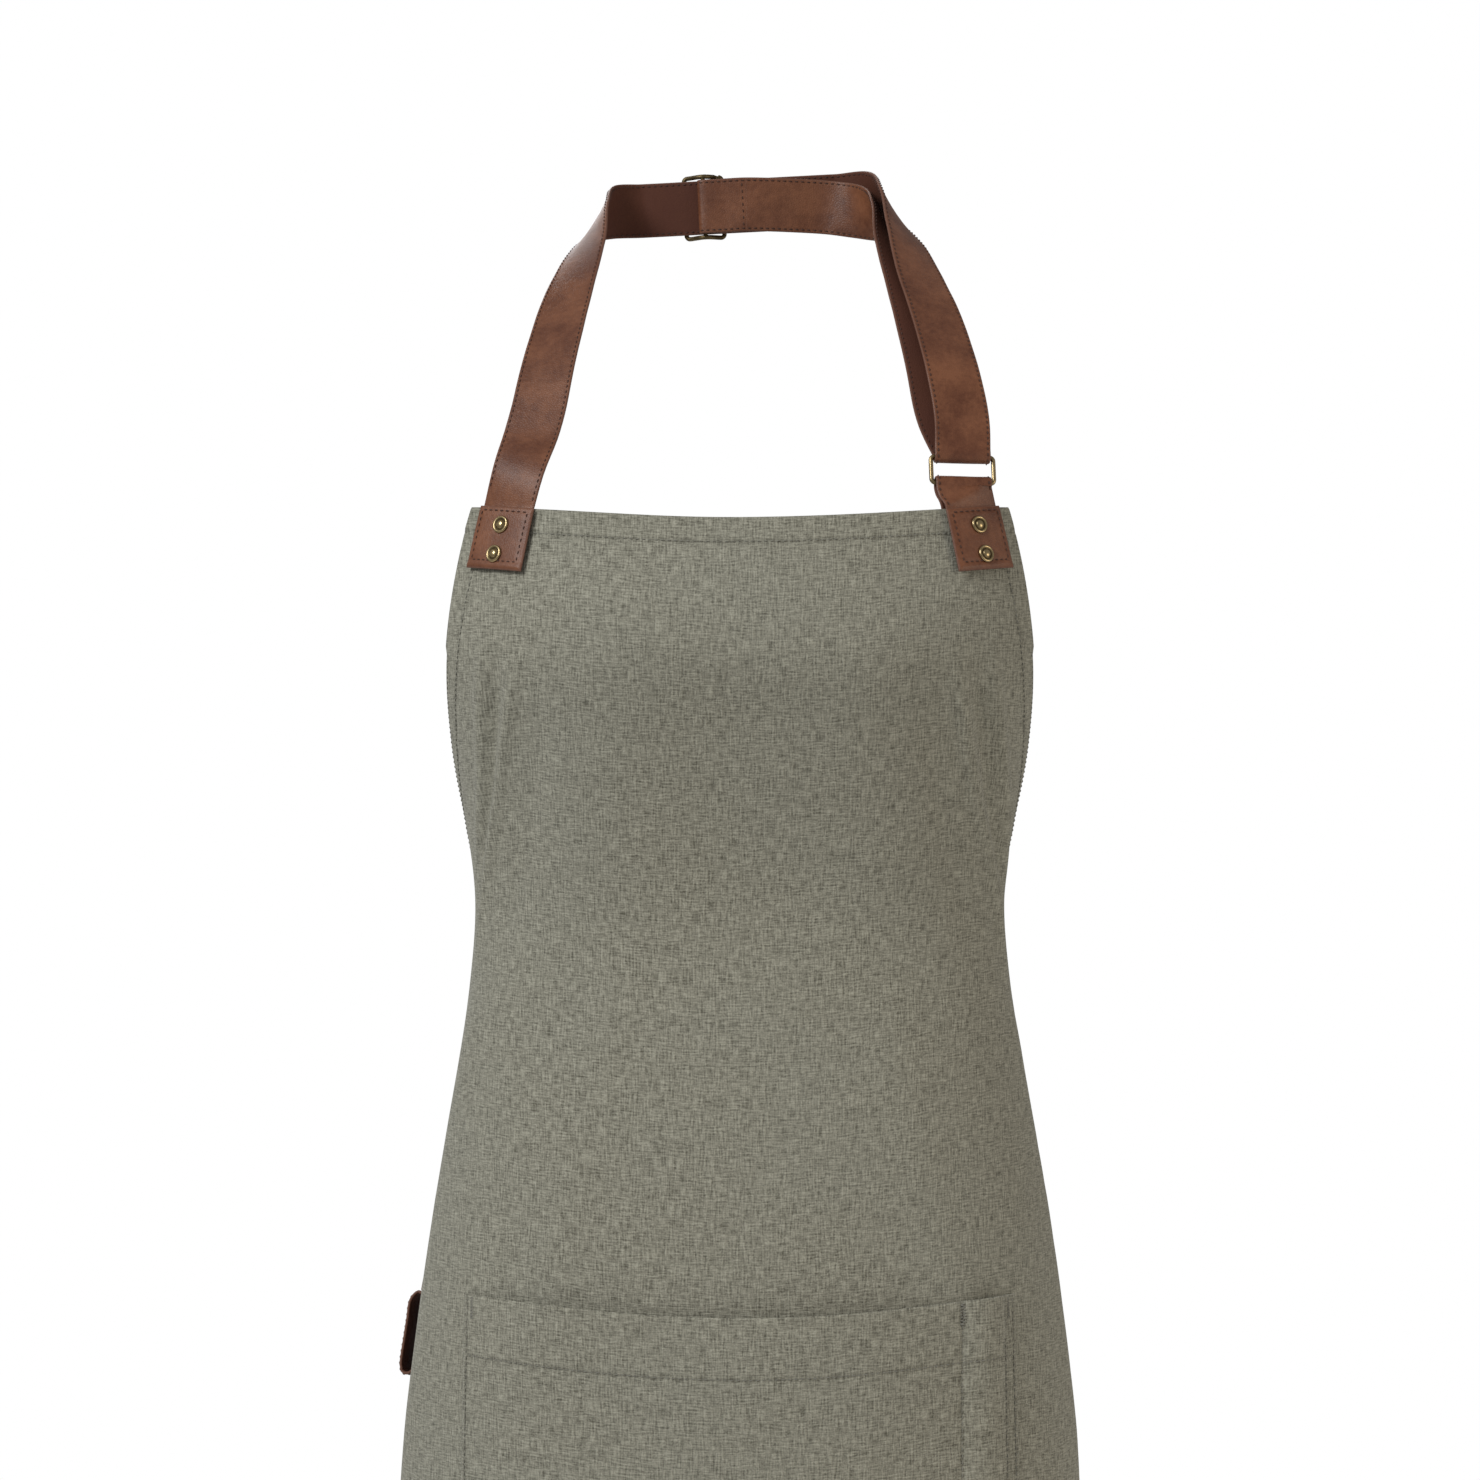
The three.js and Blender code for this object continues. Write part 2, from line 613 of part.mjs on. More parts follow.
// Three bars between two bowed rails: the strap runs straight, in front of the outer bars and
// behind the centre bar, and the strap's own end is sewn round the centre bar.
function addSlider() {
  const outerBarY = LEATHER / 2 + CLEAR + SLIDER.bar;
  const railUp = STRAP_WIDTH / 2 + SLIDER_CLEAR + SLIDER.rail;
  const bow = (x) => {
    const share = (1 + Math.cos((Math.PI * x) / SLIDER.halfLength)) / 2;
    return THREE.MathUtils.lerp(outerBarY, SLIDER_BAR_Y, share);
  };
  const section = new THREE.Shape().absarc(0, 0, SLIDER.rail, 0, 2 * Math.PI);
  const rails = [-1, 1].map((way) => {
    const points = [];
    for (let i = -6; i <= 6; i++) {
      const x = (i / 6) * (SLIDER.halfLength + SLIDER.bar * 0.9);
      const inside = THREE.MathUtils.clamp(x, -SLIDER.halfLength, SLIDER.halfLength);
      points.push(onNape(SLIDER.x + x, bow(inside), way * railUp));
    }
    const extrudePath = new THREE.CatmullRomCurve3(points);
    return closed(new THREE.ExtrudeGeometry(section, { steps: 16, curveSegments: 8, extrudePath }));
  });
  const bars = [-1, 0, 1].map((i) => {
    const bar = new THREE.CylinderGeometry(SLIDER.bar, SLIDER.bar, 2 * railUp, 8);
    const lay = new THREE.Object3D();
    lay.position.copy(onNape(SLIDER.x + i * SLIDER.halfLength, i === 0 ? SLIDER_BAR_Y : outerBarY));
    lay.quaternion.setFromUnitVectors(vec(0, 1, 0), napeUp);
    lay.updateMatrix();
    return closed(bar.applyMatrix4(lay.matrix));
  });
  add("strap_slider", join([...rails, ...bars]), antiqueBrass);
}

// ---------------------------------------------------------------- towel loop at the hip

// A strip of leather folded double and sewn to the cloth at its top: the sewn top stays,
// and the loop below it swings out.
function addTowelLoop() {
  const { arc, top, width, length, sewn, gap } = TOWEL_LOOP;
  const skin = CLOTH / 2 + CLEAR;
  const thick = 2 * LEATHER + CLEAR;
  const root = bent(4, 3, (u, v, w) => onCloth(arc + (u - 0.5) * width, top + v * sewn, skin + w * thick));
  add("towel_loop_root", root, brownLeather);
  const start = top + sewn + 2.2;
  const half = (gap + LEATHER) / 2;
  const middle = skin + half + LEATHER / 2;
  const stations = [];
  const station = (down, offset, faceOut, faceDown) => {
    const normal = clothNormal(arc, down);
    const below = onCloth(arc, down + 1).sub(onCloth(arc, down)).normalize();
    const face = normal.multiplyScalar(faceOut).addScaledVector(below, faceDown);
    stations.push({ at: onCloth(arc, down, offset), face });
  };
  const foot = start + length - half - LEATHER / 2;
  station(start + LEATHER, skin + LEATHER * 0.9, 0.5, -0.85);
  station(start + LEATHER * 0.55, middle, 0.7, -0.7);
  station(start + 5, middle + half, 1, -0.15);
  station(start + 14, middle + half, 1, 0);
  station(foot, middle + half, 1, 0);
  station(foot + half * 0.71, middle + half * 0.71, 0.71, 0.71);
  station(foot + half, middle, 0, 1);
  station(foot + half * 0.71, middle - half * 0.71, -0.71, 0.71);
  station(foot, middle - half, -1, 0);
  station(start + 14, middle - half, -1, 0);
  station(start + 4.6, middle - half, -1, 0);
  const route = new Route(stations);
  add("towel_loop", strip(route, 0, route.spans, 4, width), brownLeather);
}

// ---------------------------------------------------------------- waist ties

const TIE_OFFSET = -(CLOTH / 2 + FACET_CLEAR);
const tieTop = ARMHOLE_DEPTH + TIE_DROP;
const tieMiddle = tieTop + TIE_WIDTH / 2;
const knotZ = clothHeight(PANEL_HALF_WIDTH, tieMiddle);
const backArc = halfGirth(knotZ);
const backY = onBody(backArc, knotZ).y;
const knotAt = vec(0, backY + 3, knotZ);

function addTie(name, side) {
  const start = PANEL_HALF_WIDTH - TIE_LAP;
  const end = backArc - KNOT.width / 2 - 2;
  const run = bent(12, 2, (u, v, w) => {
    const arc = side * THREE.MathUtils.lerp(start, end, u);
    return onCloth(arc, tieTop + v * TIE_WIDTH, TIE_OFFSET - w * TIE_THICKNESS);
  });
  add(name, run, chambray);
}

// A thick rounded plate from an outline in the XZ plane, centred in depth on y.
function plate(outline, depth, bevel, y) {
  const body = { depth: depth - 2 * bevel, bevelSize: bevel, bevelThickness: bevel };
  const settings = { ...body, bevelOffset: -bevel, bevelSegments: 2, curveSegments: 8, steps: 1 };
  const geometry = new THREE.ExtrudeGeometry(outline, settings);
  geometry.translate(0, 0, bevel - depth / 2);
  geometry.rotateX(Math.PI / 2);
  geometry.translate(0, y, 0);
  return closed(geometry);
}

function addBow() {
  const { width, depth, height } = KNOT;
  const knot = new THREE.Shape().absellipse(0, 0, width / 2, height / 2, 0, 2 * Math.PI);
  add("bow_knot", plate(knot, depth, 4, 0), chambray).position.copy(knotAt);
  for (const [name, side] of [["left", -1], ["right", 1]]) {
    const { length, height: tall, droop } = BOW_LOOP;
    const start = side * (width / 2 + 1);
    const end = side * (width / 2 + 1 + length);
    const loop = new THREE.Shape();
    loop.moveTo(start, 6);
    loop.bezierCurveTo(start + side * 30, tall * 0.55, end, tall * 0.4 - droop * 0.6, end, -droop);
    loop.bezierCurveTo(end, -droop - tall * 0.6, start + side * 34, -tall * 0.45 - 4, start, -6);
    loop.closePath();
    const out = add(`bow_loop_${name}`, plate(loop, BOW_LOOP.depth, 3, 0), chambray);
    out.position.copy(knotAt).add(vec(0, 4.4, 0));
  }
}

// The tails hang straight down from the knot.
const TAIL_TOP = KNOT.height / 2 + 3 * CLEAR;
function addTail(name, side, length) {
  const tail = bent(1, 6, (u, v, w) =>
    vec((u - 0.5) * TIE_WIDTH, (w - 0.5) * TIE_THICKNESS, -v * length),
  );
  add(name, tail, chambray).position.copy(knotAt).add(vec(side * (TIE_WIDTH / 2 + 1.5), 3, -TAIL_TOP));
}

// ---------------------------------------------------------------- the assembly

addPanel();
addFacing("left_armhole_facing", -1);
addFacing("right_armhole_facing", 1);
addPocket();
addPatches();
addStraps();
addTab();
addRing();
addSlider();
addTowelLoop();
addTie("left_waist_tie", -1);
addTie("right_waist_tie", 1);
addBow();
addTail("left_tie_tail", -1, TAIL_LENGTHS.left);
addTail("right_tie_tail", 1, TAIL_LENGTHS.right);

export default apron;
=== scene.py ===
# %% [markdown]
# # A bib apron of slubby chambray with a leather neck strap
#
# The apron is shown as it hangs on a wearer who isn't there. It is built around a fixed frame: a
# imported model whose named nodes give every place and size. Cloth and leather are surfaces worked
# out with numpy, as functions of two parameters on a grid. Shape functions work in millimetres,
# and `piece()` turns them into metres.

import math

import bpy
import numpy as np
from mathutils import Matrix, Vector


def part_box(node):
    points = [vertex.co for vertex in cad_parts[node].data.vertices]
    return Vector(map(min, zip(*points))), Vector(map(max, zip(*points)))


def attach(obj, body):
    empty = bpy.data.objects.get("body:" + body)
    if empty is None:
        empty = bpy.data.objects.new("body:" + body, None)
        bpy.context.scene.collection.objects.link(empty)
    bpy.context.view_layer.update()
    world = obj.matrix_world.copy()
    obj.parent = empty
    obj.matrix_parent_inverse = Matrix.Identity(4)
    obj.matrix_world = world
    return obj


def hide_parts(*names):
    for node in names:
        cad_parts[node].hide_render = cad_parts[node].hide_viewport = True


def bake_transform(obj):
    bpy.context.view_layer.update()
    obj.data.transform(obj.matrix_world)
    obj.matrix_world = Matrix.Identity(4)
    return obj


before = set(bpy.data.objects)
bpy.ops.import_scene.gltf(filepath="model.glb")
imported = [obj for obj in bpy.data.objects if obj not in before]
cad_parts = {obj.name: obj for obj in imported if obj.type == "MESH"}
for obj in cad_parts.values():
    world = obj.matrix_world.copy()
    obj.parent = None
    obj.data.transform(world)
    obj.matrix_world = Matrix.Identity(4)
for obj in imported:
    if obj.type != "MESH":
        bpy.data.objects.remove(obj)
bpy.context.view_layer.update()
MM = 0.001


def box_mm(node):
    """The lowest and highest corners of a node at rest, in millimetres."""
    low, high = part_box(node)
    return np.array(low) / MM, np.array(high) / MM


# %% [markdown]
# ## Camera
#
# A long lens from far away keeps perspective from bulging the cloth. The camera looks straight
# along +Y, a little above the waist.

# %% The camera
CAMERA_AWAY = 2.45
CAMERA_HEIGHT = -0.271
SEEN_ACROSS = 0.7051
SEEN_AT = 2.30
SENSOR = 36.0

camera_data = bpy.data.cameras.new("camera")
camera_data.sensor_width = SENSOR
camera_data.lens = SENSOR * SEEN_AT / SEEN_ACROSS
camera = bpy.data.objects.new("camera", camera_data)
camera.location = (0.0, -CAMERA_AWAY, CAMERA_HEIGHT)
camera.rotation_euler = (math.radians(90), 0, 0)
bpy.context.scene.collection.objects.link(camera)
bpy.context.scene.camera = camera
print(f"lens {camera_data.lens:.1f} mm")

# %% [markdown]
# ## Light
#
# One large soft light from the upper left makes the folds readable, a weaker one from the right
# keeps their far sides open, and a pale world fills in the rest. The floor is a small pale disc.

# %% Lights and world
bpy.context.scene.view_settings.view_transform = "Standard"
bpy.context.scene.view_settings.look = "None"


def soft_light(name, place, aim, size, power, colour):
    """A square area light at a place, turned to an aim point."""
    data = bpy.data.lights.new(name, "AREA")
    data.shape = "SQUARE"
    data.size = size
    data.energy = power
    data.color = colour
    light = bpy.data.objects.new(name, data)
    light.location = place
    away = np.array(aim) - np.array(place)
    flat = math.hypot(away[0], away[1])
    light.rotation_euler = (math.atan2(flat, -away[2]), 0, math.atan2(away[1], away[0]) - math.pi / 2)
    bpy.context.scene.collection.objects.link(light)


CHEST = (0.0, -0.15, -0.30)
soft_light("key_light", (-1.6, -1.7, 1.25), CHEST, 1.0, 52, (0.96, 0.985, 1.0))
soft_light("side_light", (2.0, -1.0, -0.2), CHEST, 1.0, 12, (1.0, 0.90, 0.76))
soft_light("back_light", (-0.6, 2.2, 0.8), CHEST, 1.6, 26, (1.0, 1.0, 1.0))

world = bpy.data.worlds.new("studio")
bpy.context.scene.world = world
world.use_nodes = True
tree = world.node_tree
seen = tree.nodes.new("ShaderNodeLightPath")
level = tree.nodes.new("ShaderNodeMapRange")
level.inputs["To Min"].default_value = 0.30  # what lights the object
level.inputs["To Max"].default_value = 1.0  # what the camera sees
tree.links.new(seen.outputs["Is Camera Ray"], level.inputs["Value"])
tree.links.new(level.outputs["Result"], tree.nodes["Background"].inputs["Strength"])
tree.nodes["Background"].inputs["Color"].default_value = (1, 1, 1, 1)

# %% [markdown]
# ## Mesh tools
#
# Most pieces of an apron are slabs: a middle surface on a grid, a normal at each of its points and
# a thickness that falls to nothing at the rounded edges. One function closes such a slab, another
# carries a round section along a path, and a third turns a profile round an axis.


# %% Grids, slabs and pieces
def smooth(x, low=0.0, high=1.0):
    """The smooth step: 3t^2 - 2t^3, with t running from 0 at low to 1 at high."""
    t = np.clip((x - low) / (high - low), 0, 1)
    return t * t * (3 - 2 * t)


def unit(v):
    """Vectors scaled to length 1."""
    return v / np.maximum(np.linalg.norm(v, axis=-1, keepdims=True), 1e-12)


def quads(rows, columns, rows_close=False, columns_close=False, first=0):
    """Faces of a grid, whose point numbers run along each row in turn."""
    r, c = np.meshgrid(
        np.arange(rows if rows_close else rows - 1),
        np.arange(columns if columns_close else columns - 1),
        indexing="ij",
    )
    right = (c + 1) % columns
    below = (r + 1) % rows
    corners = [r * columns + c, r * columns + right, below * columns + right, below * columns + c]
    return np.stack(corners, -1).reshape(-1, 4) + first


def end_caps(rows, sides):
    """Faces that close the first and the last ring of a tube, as ladders of quads across them."""
    i = np.arange(sides // 2 - 1)
    ladder = np.stack([i, i + 1, sides - 2 - i, sides - 1 - i], -1)
    return np.concatenate([ladder[:, ::-1], ladder + (rows - 1) * sides])


def grid_normals(p):
    """Normals of a grid of points: its slope down the rows crossed with its slope along them."""
    return unit(np.cross(np.gradient(p, axis=0), np.gradient(p, axis=1)))


class Shell:
    """Points, faces and per-point data of one closed shape, in millimetres."""

    def __init__(self, points, faces, uv=None, finish=0, flat=None, **facts):
        self.points = np.asarray(points, float).reshape(-1, 3)
        self.faces = np.asarray(faces)
        self.flat = np.zeros(len(self.faces), bool) if flat is None else flat
        count = len(self.points)
        self.uv = np.zeros((count, 2)) if uv is None else np.asarray(uv, float).reshape(-1, 2)
        self.finish = finish
        self.facts = {k: np.broadcast_to(v, count).astype(float) for k, v in facts.items()}

    def outward(self):
        """The faces turned so that the volume inside them is positive."""
        a, b, c, d = (self.points[self.faces[:, i]] for i in range(4))
        volume = np.sum(a * np.cross(b, c)) + np.sum(a * np.cross(c, d))
        return self.faces[:, ::-1] if volume < 0 else self.faces


def slab(middle, normal, half, uv=None, finish=0, flat_ends=False, **facts):
    """A closed slab: middle + normal * half in front, middle - normal * half behind, joined all
    round its border. Half is the half thickness, and may differ from point to point."""
    rows, columns = middle.shape[:2]
    half = np.broadcast_to(half, (rows, columns))[..., None]
    count = rows * columns
    front = quads(rows, columns)
    number = np.arange(count).reshape(rows, columns)
    rim = np.concatenate([number[0, :-1], number[:-1, -1], number[-1, :0:-1], number[:0:-1, 0]])
    onward = np.roll(rim, -1)
    wall = np.stack([onward, rim, rim + count, onward + count], -1)
    faces = np.concatenate([front, front[:, ::-1] + count, wall])
    at_end = np.isin(rim // columns * 2 + onward // columns * 2, [0, 4 * (rows - 1)])
    flat = np.concatenate([np.zeros(2 * len(front), bool), at_end & flat_ends])
    front, back = middle + normal * half, middle - normal * half
    points = np.concatenate([front.reshape(-1, 3), back.reshape(-1, 3)])
    both = {k: np.tile(np.broadcast_to(v, (rows, columns)).ravel(), 2) for k, v in facts.items()}
    side = np.repeat([1.0, -1.0], count)
    uv = None if uv is None else np.tile(uv.reshape(-1, 2), (2, 1))
    return Shell(points, faces, uv, finish, flat, side=side, **both)


def tube(path, radius, closed=False, sides=12, finish=0, flat=1.0, up=None, **facts):
    """A round section carried along a path: path + radius (cos a * across + sin a * up)."""
    path = np.asarray(path, float)
    along = np.gradient(path, axis=0)
    if closed:
        along = np.roll(path, -1, axis=0) - np.roll(path, 1, axis=0)
    along = unit(along)
    up = unit(np.cross(along, unit(np.cross(np.broadcast_to(up, path.shape), along))))
    across = np.cross(up, along)
    radius = np.broadcast_to(radius, len(path))[:, None, None]
    angle = np.linspace(0, 2 * np.pi, sides, endpoint=False)[None, :, None]
    points = path[:, None] + radius * (np.cos(angle) * across[:, None] + flat * np.sin(angle) * up[:, None])
    faces = quads(len(path), sides, closed, True)
    if not closed:
        faces = np.concatenate([faces, end_caps(len(path), sides)])
    return Shell(points, faces, finish=finish, **facts)


def turned_profile(profile, centre, axis, steps=40, finish=0, wear=0.0):
    """A profile of (radius, height) turned round an axis through the centre."""
    profile = np.asarray(profile, float)
    side = unit(np.cross(axis, [0.3, 0.2, 0.93]))
    other = np.cross(axis, side)
    angle = np.linspace(0, 2 * np.pi, steps, endpoint=False)[None, :, None]
    ring = np.cos(angle) * side + np.sin(angle) * other
    points = centre + profile[:, 0][:, None, None] * ring + profile[:, 1][:, None, None] * axis
    wear = np.repeat(np.broadcast_to(wear, len(profile)), steps)
    faces = np.concatenate([quads(len(profile), steps, False, True), end_caps(len(profile), steps)])
    return Shell(points, faces, finish=finish, wear=wear)


made = {}


def piece(name, shells, finishes, body, replaces=()):
    """One object from closed shells, with its faces outward, its UV map in metres, its facts as
    attributes and a material for each finish number. It rides on a body of the frame."""
    points, faces, uv, kind, flat, facts, first = [], [], [], [], [], {}, 0
    names = sorted({k for s in shells for k in s.facts})
    for shell in shells:
        points.append(shell.points * MM)
        turned = shell.outward()
        faces.append(turned + first)
        uv.append(shell.uv * MM)
        kind.append(np.full(len(turned), shell.finish))
        flat.append(shell.flat)
        for k in names:
            facts.setdefault(k, []).append(shell.facts.get(k, np.zeros(len(shell.points))))
        first += len(shell.points)
    points, faces, uv = np.concatenate(points), np.concatenate(faces), np.concatenate(uv)
    mesh = bpy.data.meshes.new(name)
    mesh.from_pydata(points, [], faces)
    layer = mesh.uv_layers.new(name="cloth_places")
    corner = np.empty(len(mesh.loops), dtype=np.int32)
    mesh.loops.foreach_get("vertex_index", corner)
    layer.data.foreach_set("uv", uv[corner].astype(np.float32).ravel())
    for k in names:
        attribute = mesh.attributes.new(k, "FLOAT", "POINT")
        attribute.data.foreach_set("value", np.concatenate(facts[k]).astype(np.float32))
    for finish in finishes:
        mesh.materials.append(finish)
    mesh.polygons.foreach_set("material_index", np.concatenate(kind).astype(np.int32))
    mesh.polygons.foreach_set("use_smooth", ~np.concatenate(flat))
    mesh.update()
    thing = bpy.data.objects.new(name, mesh)
    bpy.context.scene.collection.objects.link(thing)
    if body:
        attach(thing, body)
    if replaces:
        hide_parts(*replaces)
    made[name] = thing
    print(f"{name}: {len(mesh.polygons)} faces")
    return thing


# %% [markdown]
# ## Finishes
#
# Three effects are shared: the slubby weave, the grain of leather and the patina of old brass.
# Each is a node group that gives a tone and a height, and each material sets its own scale.
# Chambray is one colour of warp and a paler weft, so up close it is a crosshatch of streaks.


# %% A small helper for node trees
class Graph:
    """Adds nodes to a tree; sockets and plain numbers can both be inputs."""

    def __init__(self, tree):
        self.tree = tree

    def add(self, kind, inputs=(), **settings):
        node = self.tree.nodes.new("ShaderNode" + kind)
        for key, value in settings.items():
            setattr(node, key, value)
        for key, value in dict(inputs).items():
            self.feed(node.inputs[key], value)
        return node

    def feed(self, socket, value):
        if isinstance(value, bpy.types.NodeSocket):
            self.tree.links.new(value, socket)
        else:
            socket.default_value = value

    def math(self, operation, a, b=0.0):
        return self.add("Math", {0: a, 1: b}, operation=operation).outputs[0]

    def scaled(self, vector, factors):
        return self.add("VectorMath", {0: vector, 1: factors}, operation="MULTIPLY").outputs[0]

    def noise(self, vector, scale, detail=2.0, roughness=0.5):
        values = {"Vector": vector, "Scale": scale, "Detail": detail, "Roughness": roughness}
        return self.add("TexNoise", values).outputs["Fac"]

    def span(self, value, low, high, to_low=0.0, to_high=1.0):
        values = {"Value": value, "From Min": low, "From Max": high, "To Min": to_low, "To Max": to_high}
        return self.add("MapRange", values).outputs["Result"]

    def blend(self, share, a, b):
        node = self.add("Mix", data_type="RGBA")
        for socket, value in zip((node.inputs[0], node.inputs[6], node.inputs[7]), (share, a, b)):
            self.feed(socket, value)
        return node.outputs[2]


def effect(name, inputs, outputs):
    """A node group with named float and vector inputs; gives its graph and its two end nodes."""
    tree = bpy.data.node_groups.new(name, "ShaderNodeTree")
    for label, kind, value in inputs:
        socket = tree.interface.new_socket(label, in_out="INPUT", socket_type=kind)
        if value is not None:
            socket.default_value = value
    for label in outputs:
        tree.interface.new_socket(label, in_out="OUTPUT", socket_type="NodeSocketFloat")
    return Graph(tree), tree.nodes.new("NodeGroupInput").outputs, tree.nodes.new("NodeGroupOutput").inputs


# %% The weave: streaks along the warp, streaks along the weft, and slubs
g, given, wanted = effect(
    "slub_weave",
    [
        ("Vector", "NodeSocketVector", None),
        ("Yarns", "NodeSocketFloat", 700.0),
        ("Slubs", "NodeSocketFloat", 1.0),
    ],
    ["Tone", "Height"],
)
yarns = g.add("VectorMath", {0: given["Vector"]}, operation="SCALE")
g.feed(yarns.inputs["Scale"], given["Yarns"])
yarns = yarns.outputs[0]
warp = g.noise(g.scaled(yarns, (1.0, 0.11, 1.0)), 1.0, 1.0)
weft = g.noise(g.scaled(yarns, (0.14, 1.0, 1.0)), 1.0, 1.0)
speck = g.noise(yarns, 0.9, 1.0)
slub = g.noise(g.scaled(yarns, (0.05, 0.6, 1.0)), 1.0, 1.0)
slub = g.math("MULTIPLY", g.span(slub, 0.66, 0.8), given["Slubs"])
cross = g.math("ADD", g.math("ADD", warp, weft), g.math("MULTIPLY", speck, 0.7))
tone = g.math("ADD", g.span(cross, 0.95, 1.75), g.math("MULTIPLY", slub, 0.35))
g.feed(wanted["Tone"], tone)
over = g.math("MULTIPLY", g.math("SUBTRACT", warp, weft), 1.4)
g.feed(wanted["Height"], g.math("ADD", g.math("ABSOLUTE", over), tone))
slub_weave = g.tree

# %% The grain of leather: pores, fine creases and slow changes of dye
g, given, wanted = effect(
    "leather_grain",
    [("Vector", "NodeSocketVector", None), ("Pores", "NodeSocketFloat", 900.0)],
    ["Tone", "Height"],
)
cells = g.add("TexVoronoi", {"Vector": given["Vector"], "Scale": given["Pores"]}, feature="DISTANCE_TO_EDGE")
creases = g.span(cells.outputs["Distance"], 0.0, 0.25)
dye = g.noise(given["Vector"], 45.0, 4.0, 0.6)
fine = g.noise(given["Vector"], 420.0, 3.0, 0.6)
g.feed(wanted["Tone"], g.math("ADD", g.math("MULTIPLY", dye, 0.7), g.math("MULTIPLY", fine, 0.3)))
g.feed(wanted["Height"], g.math("ADD", g.math("MULTIPLY", creases, 0.5), fine))
leather_grain = g.tree

# %% The patina of old brass: dark in the hollows, bright where it is rubbed
g, given, wanted = effect(
    "patina",
    [("Vector", "NodeSocketVector", None), ("Wear", "NodeSocketFloat", 0.5)],
    ["Bright", "Height"],
)
cloud = g.noise(given["Vector"], 260.0, 4.0, 0.65)
spots = g.noise(given["Vector"], 1500.0, 2.0, 0.6)
share = g.math("ADD", given["Wear"], g.math("MULTIPLY", g.math("SUBTRACT", cloud, 0.5), 0.6))
g.feed(wanted["Bright"], g.span(share, 0.15, 0.95))
g.feed(wanted["Height"], spots)
patina = g.tree


# %% Materials
def start_material(name, rough, metal=0.0):
    """A new material: its graph and its Principled shader."""
    material = bpy.data.materials.new(name)
    material.use_nodes = True
    shader = material.node_tree.nodes["Principled BSDF"]
    shader.inputs["Roughness"].default_value = rough
    shader.inputs["Metallic"].default_value = metal
    return material, Graph(material.node_tree), shader.inputs


def use_effect(g, group, **values):
    node = g.add("Group", node_tree=group)
    for key, value in values.items():
        g.feed(node.inputs[key], value)
    return node.outputs


def fact(g, name):
    return g.add("Attribute", attribute_name=name).outputs["Fac"]


def cloth_material(name, dark, light, yarns=1250.0, slubs=0.6):
    """Chambray: the weave's tone runs from the warp's colour to the weft's, and painted shade darkens it
    along seams, stitch grooves and gathers.
    """
    material, g, shader = start_material(name, 0.92)
    places = g.add("UVMap", uv_map="cloth_places").outputs["UV"]
    weave = use_effect(g, slub_weave, Vector=places, Yarns=yarns, Slubs=slubs)
    colour = g.blend(weave["Tone"], (*dark, 1), (*light, 1))
    wash = g.span(g.noise(places, 7.0, 3.0), 0.3, 0.7)
    colour = g.blend(g.math("MULTIPLY", wash, 0.12), colour, (0.27, 0.29, 0.26, 1))
    # Painted shade: the fact named seam darkens the colour along stitch grooves, seam lines and gathers.
    seam = g.math("MULTIPLY", fact(g, "seam"), 0.30)
    g.feed(shader["Base Color"], g.blend(seam, colour, (dark[0] * 0.45, dark[1] * 0.45, dark[2] * 0.45, 1)))
    bump = g.add("Bump", {"Height": weave["Height"], "Strength": 0.5, "Distance": 0.0005})
    g.feed(shader["Normal"], bump.outputs[0])
    shader["Sheen Weight"].default_value = 0.12
    shader["Sheen Roughness"].default_value = 0.5
    shader["Specular IOR Level"].default_value = 0.25
    return material


def leather_material(name, dark, light, flesh, rim, pores=900.0):
    """Oiled leather: the grain side, the matt flesh side and the painted cut edge differ."""
    material, g, shader = start_material(name, 0.5)
    places = g.add("TexCoord").outputs["Object"]
    grain = use_effect(g, leather_grain, Vector=places, Pores=pores)
    colour = g.blend(g.span(grain["Tone"], 0.36, 0.64), (*dark, 1), (*light, 1))
    inside = g.span(fact(g, "side"), 0.0, -0.2)
    colour = g.blend(inside, colour, g.blend(grain["Tone"], (*flesh, 1), (*dark, 1)))
    edge = fact(g, "edge")
    g.feed(shader["Base Color"], g.blend(g.math("MULTIPLY", edge, 0.8), colour, (*rim, 1)))
    g.feed(shader["Roughness"], g.span(inside, 0.0, 1.0, 0.46, 0.8))
    bump = g.add("Bump", {"Height": grain["Height"], "Strength": 0.35, "Distance": 0.0003})
    g.feed(shader["Normal"], bump.outputs[0])
    shader["Specular IOR Level"].default_value = 0.4
    return material


def metal_material(name, dark, bright):
    """Antique brass: the fact named wear says where the patina is rubbed away."""
    material, g, shader = start_material(name, 0.4, 1.0)
    places = g.add("TexCoord").outputs["Object"]
    old = use_effect(g, patina, Vector=places, Wear=fact(g, "wear"))
    g.feed(shader["Base Color"], g.blend(old["Bright"], (*dark, 1), (*bright, 1)))
    g.feed(shader["Roughness"], g.span(old["Bright"], 0.0, 1.0, 0.55, 0.28))
    bump = g.add("Bump", {"Height": old["Height"], "Strength": 0.15, "Distance": 0.0001})
    g.feed(shader["Normal"], bump.outputs[0])
    return material


def thread_material(name, colour):
    """Twisted sewing thread: fine slanting stripes of shade."""
    material, g, shader = start_material(name, 0.75)
    places = g.add("TexCoord").outputs["Object"]
    twist = g.noise(places, 2400.0, 1.0)
    g.feed(shader["Base Color"], g.blend(twist, tuple(c * 0.6 for c in colour) + (1,), (*colour, 1)))
    bump = g.add("Bump", {"Height": twist, "Strength": 0.4, "Distance": 0.0002})
    g.feed(shader["Normal"], bump.outputs[0])
    return material


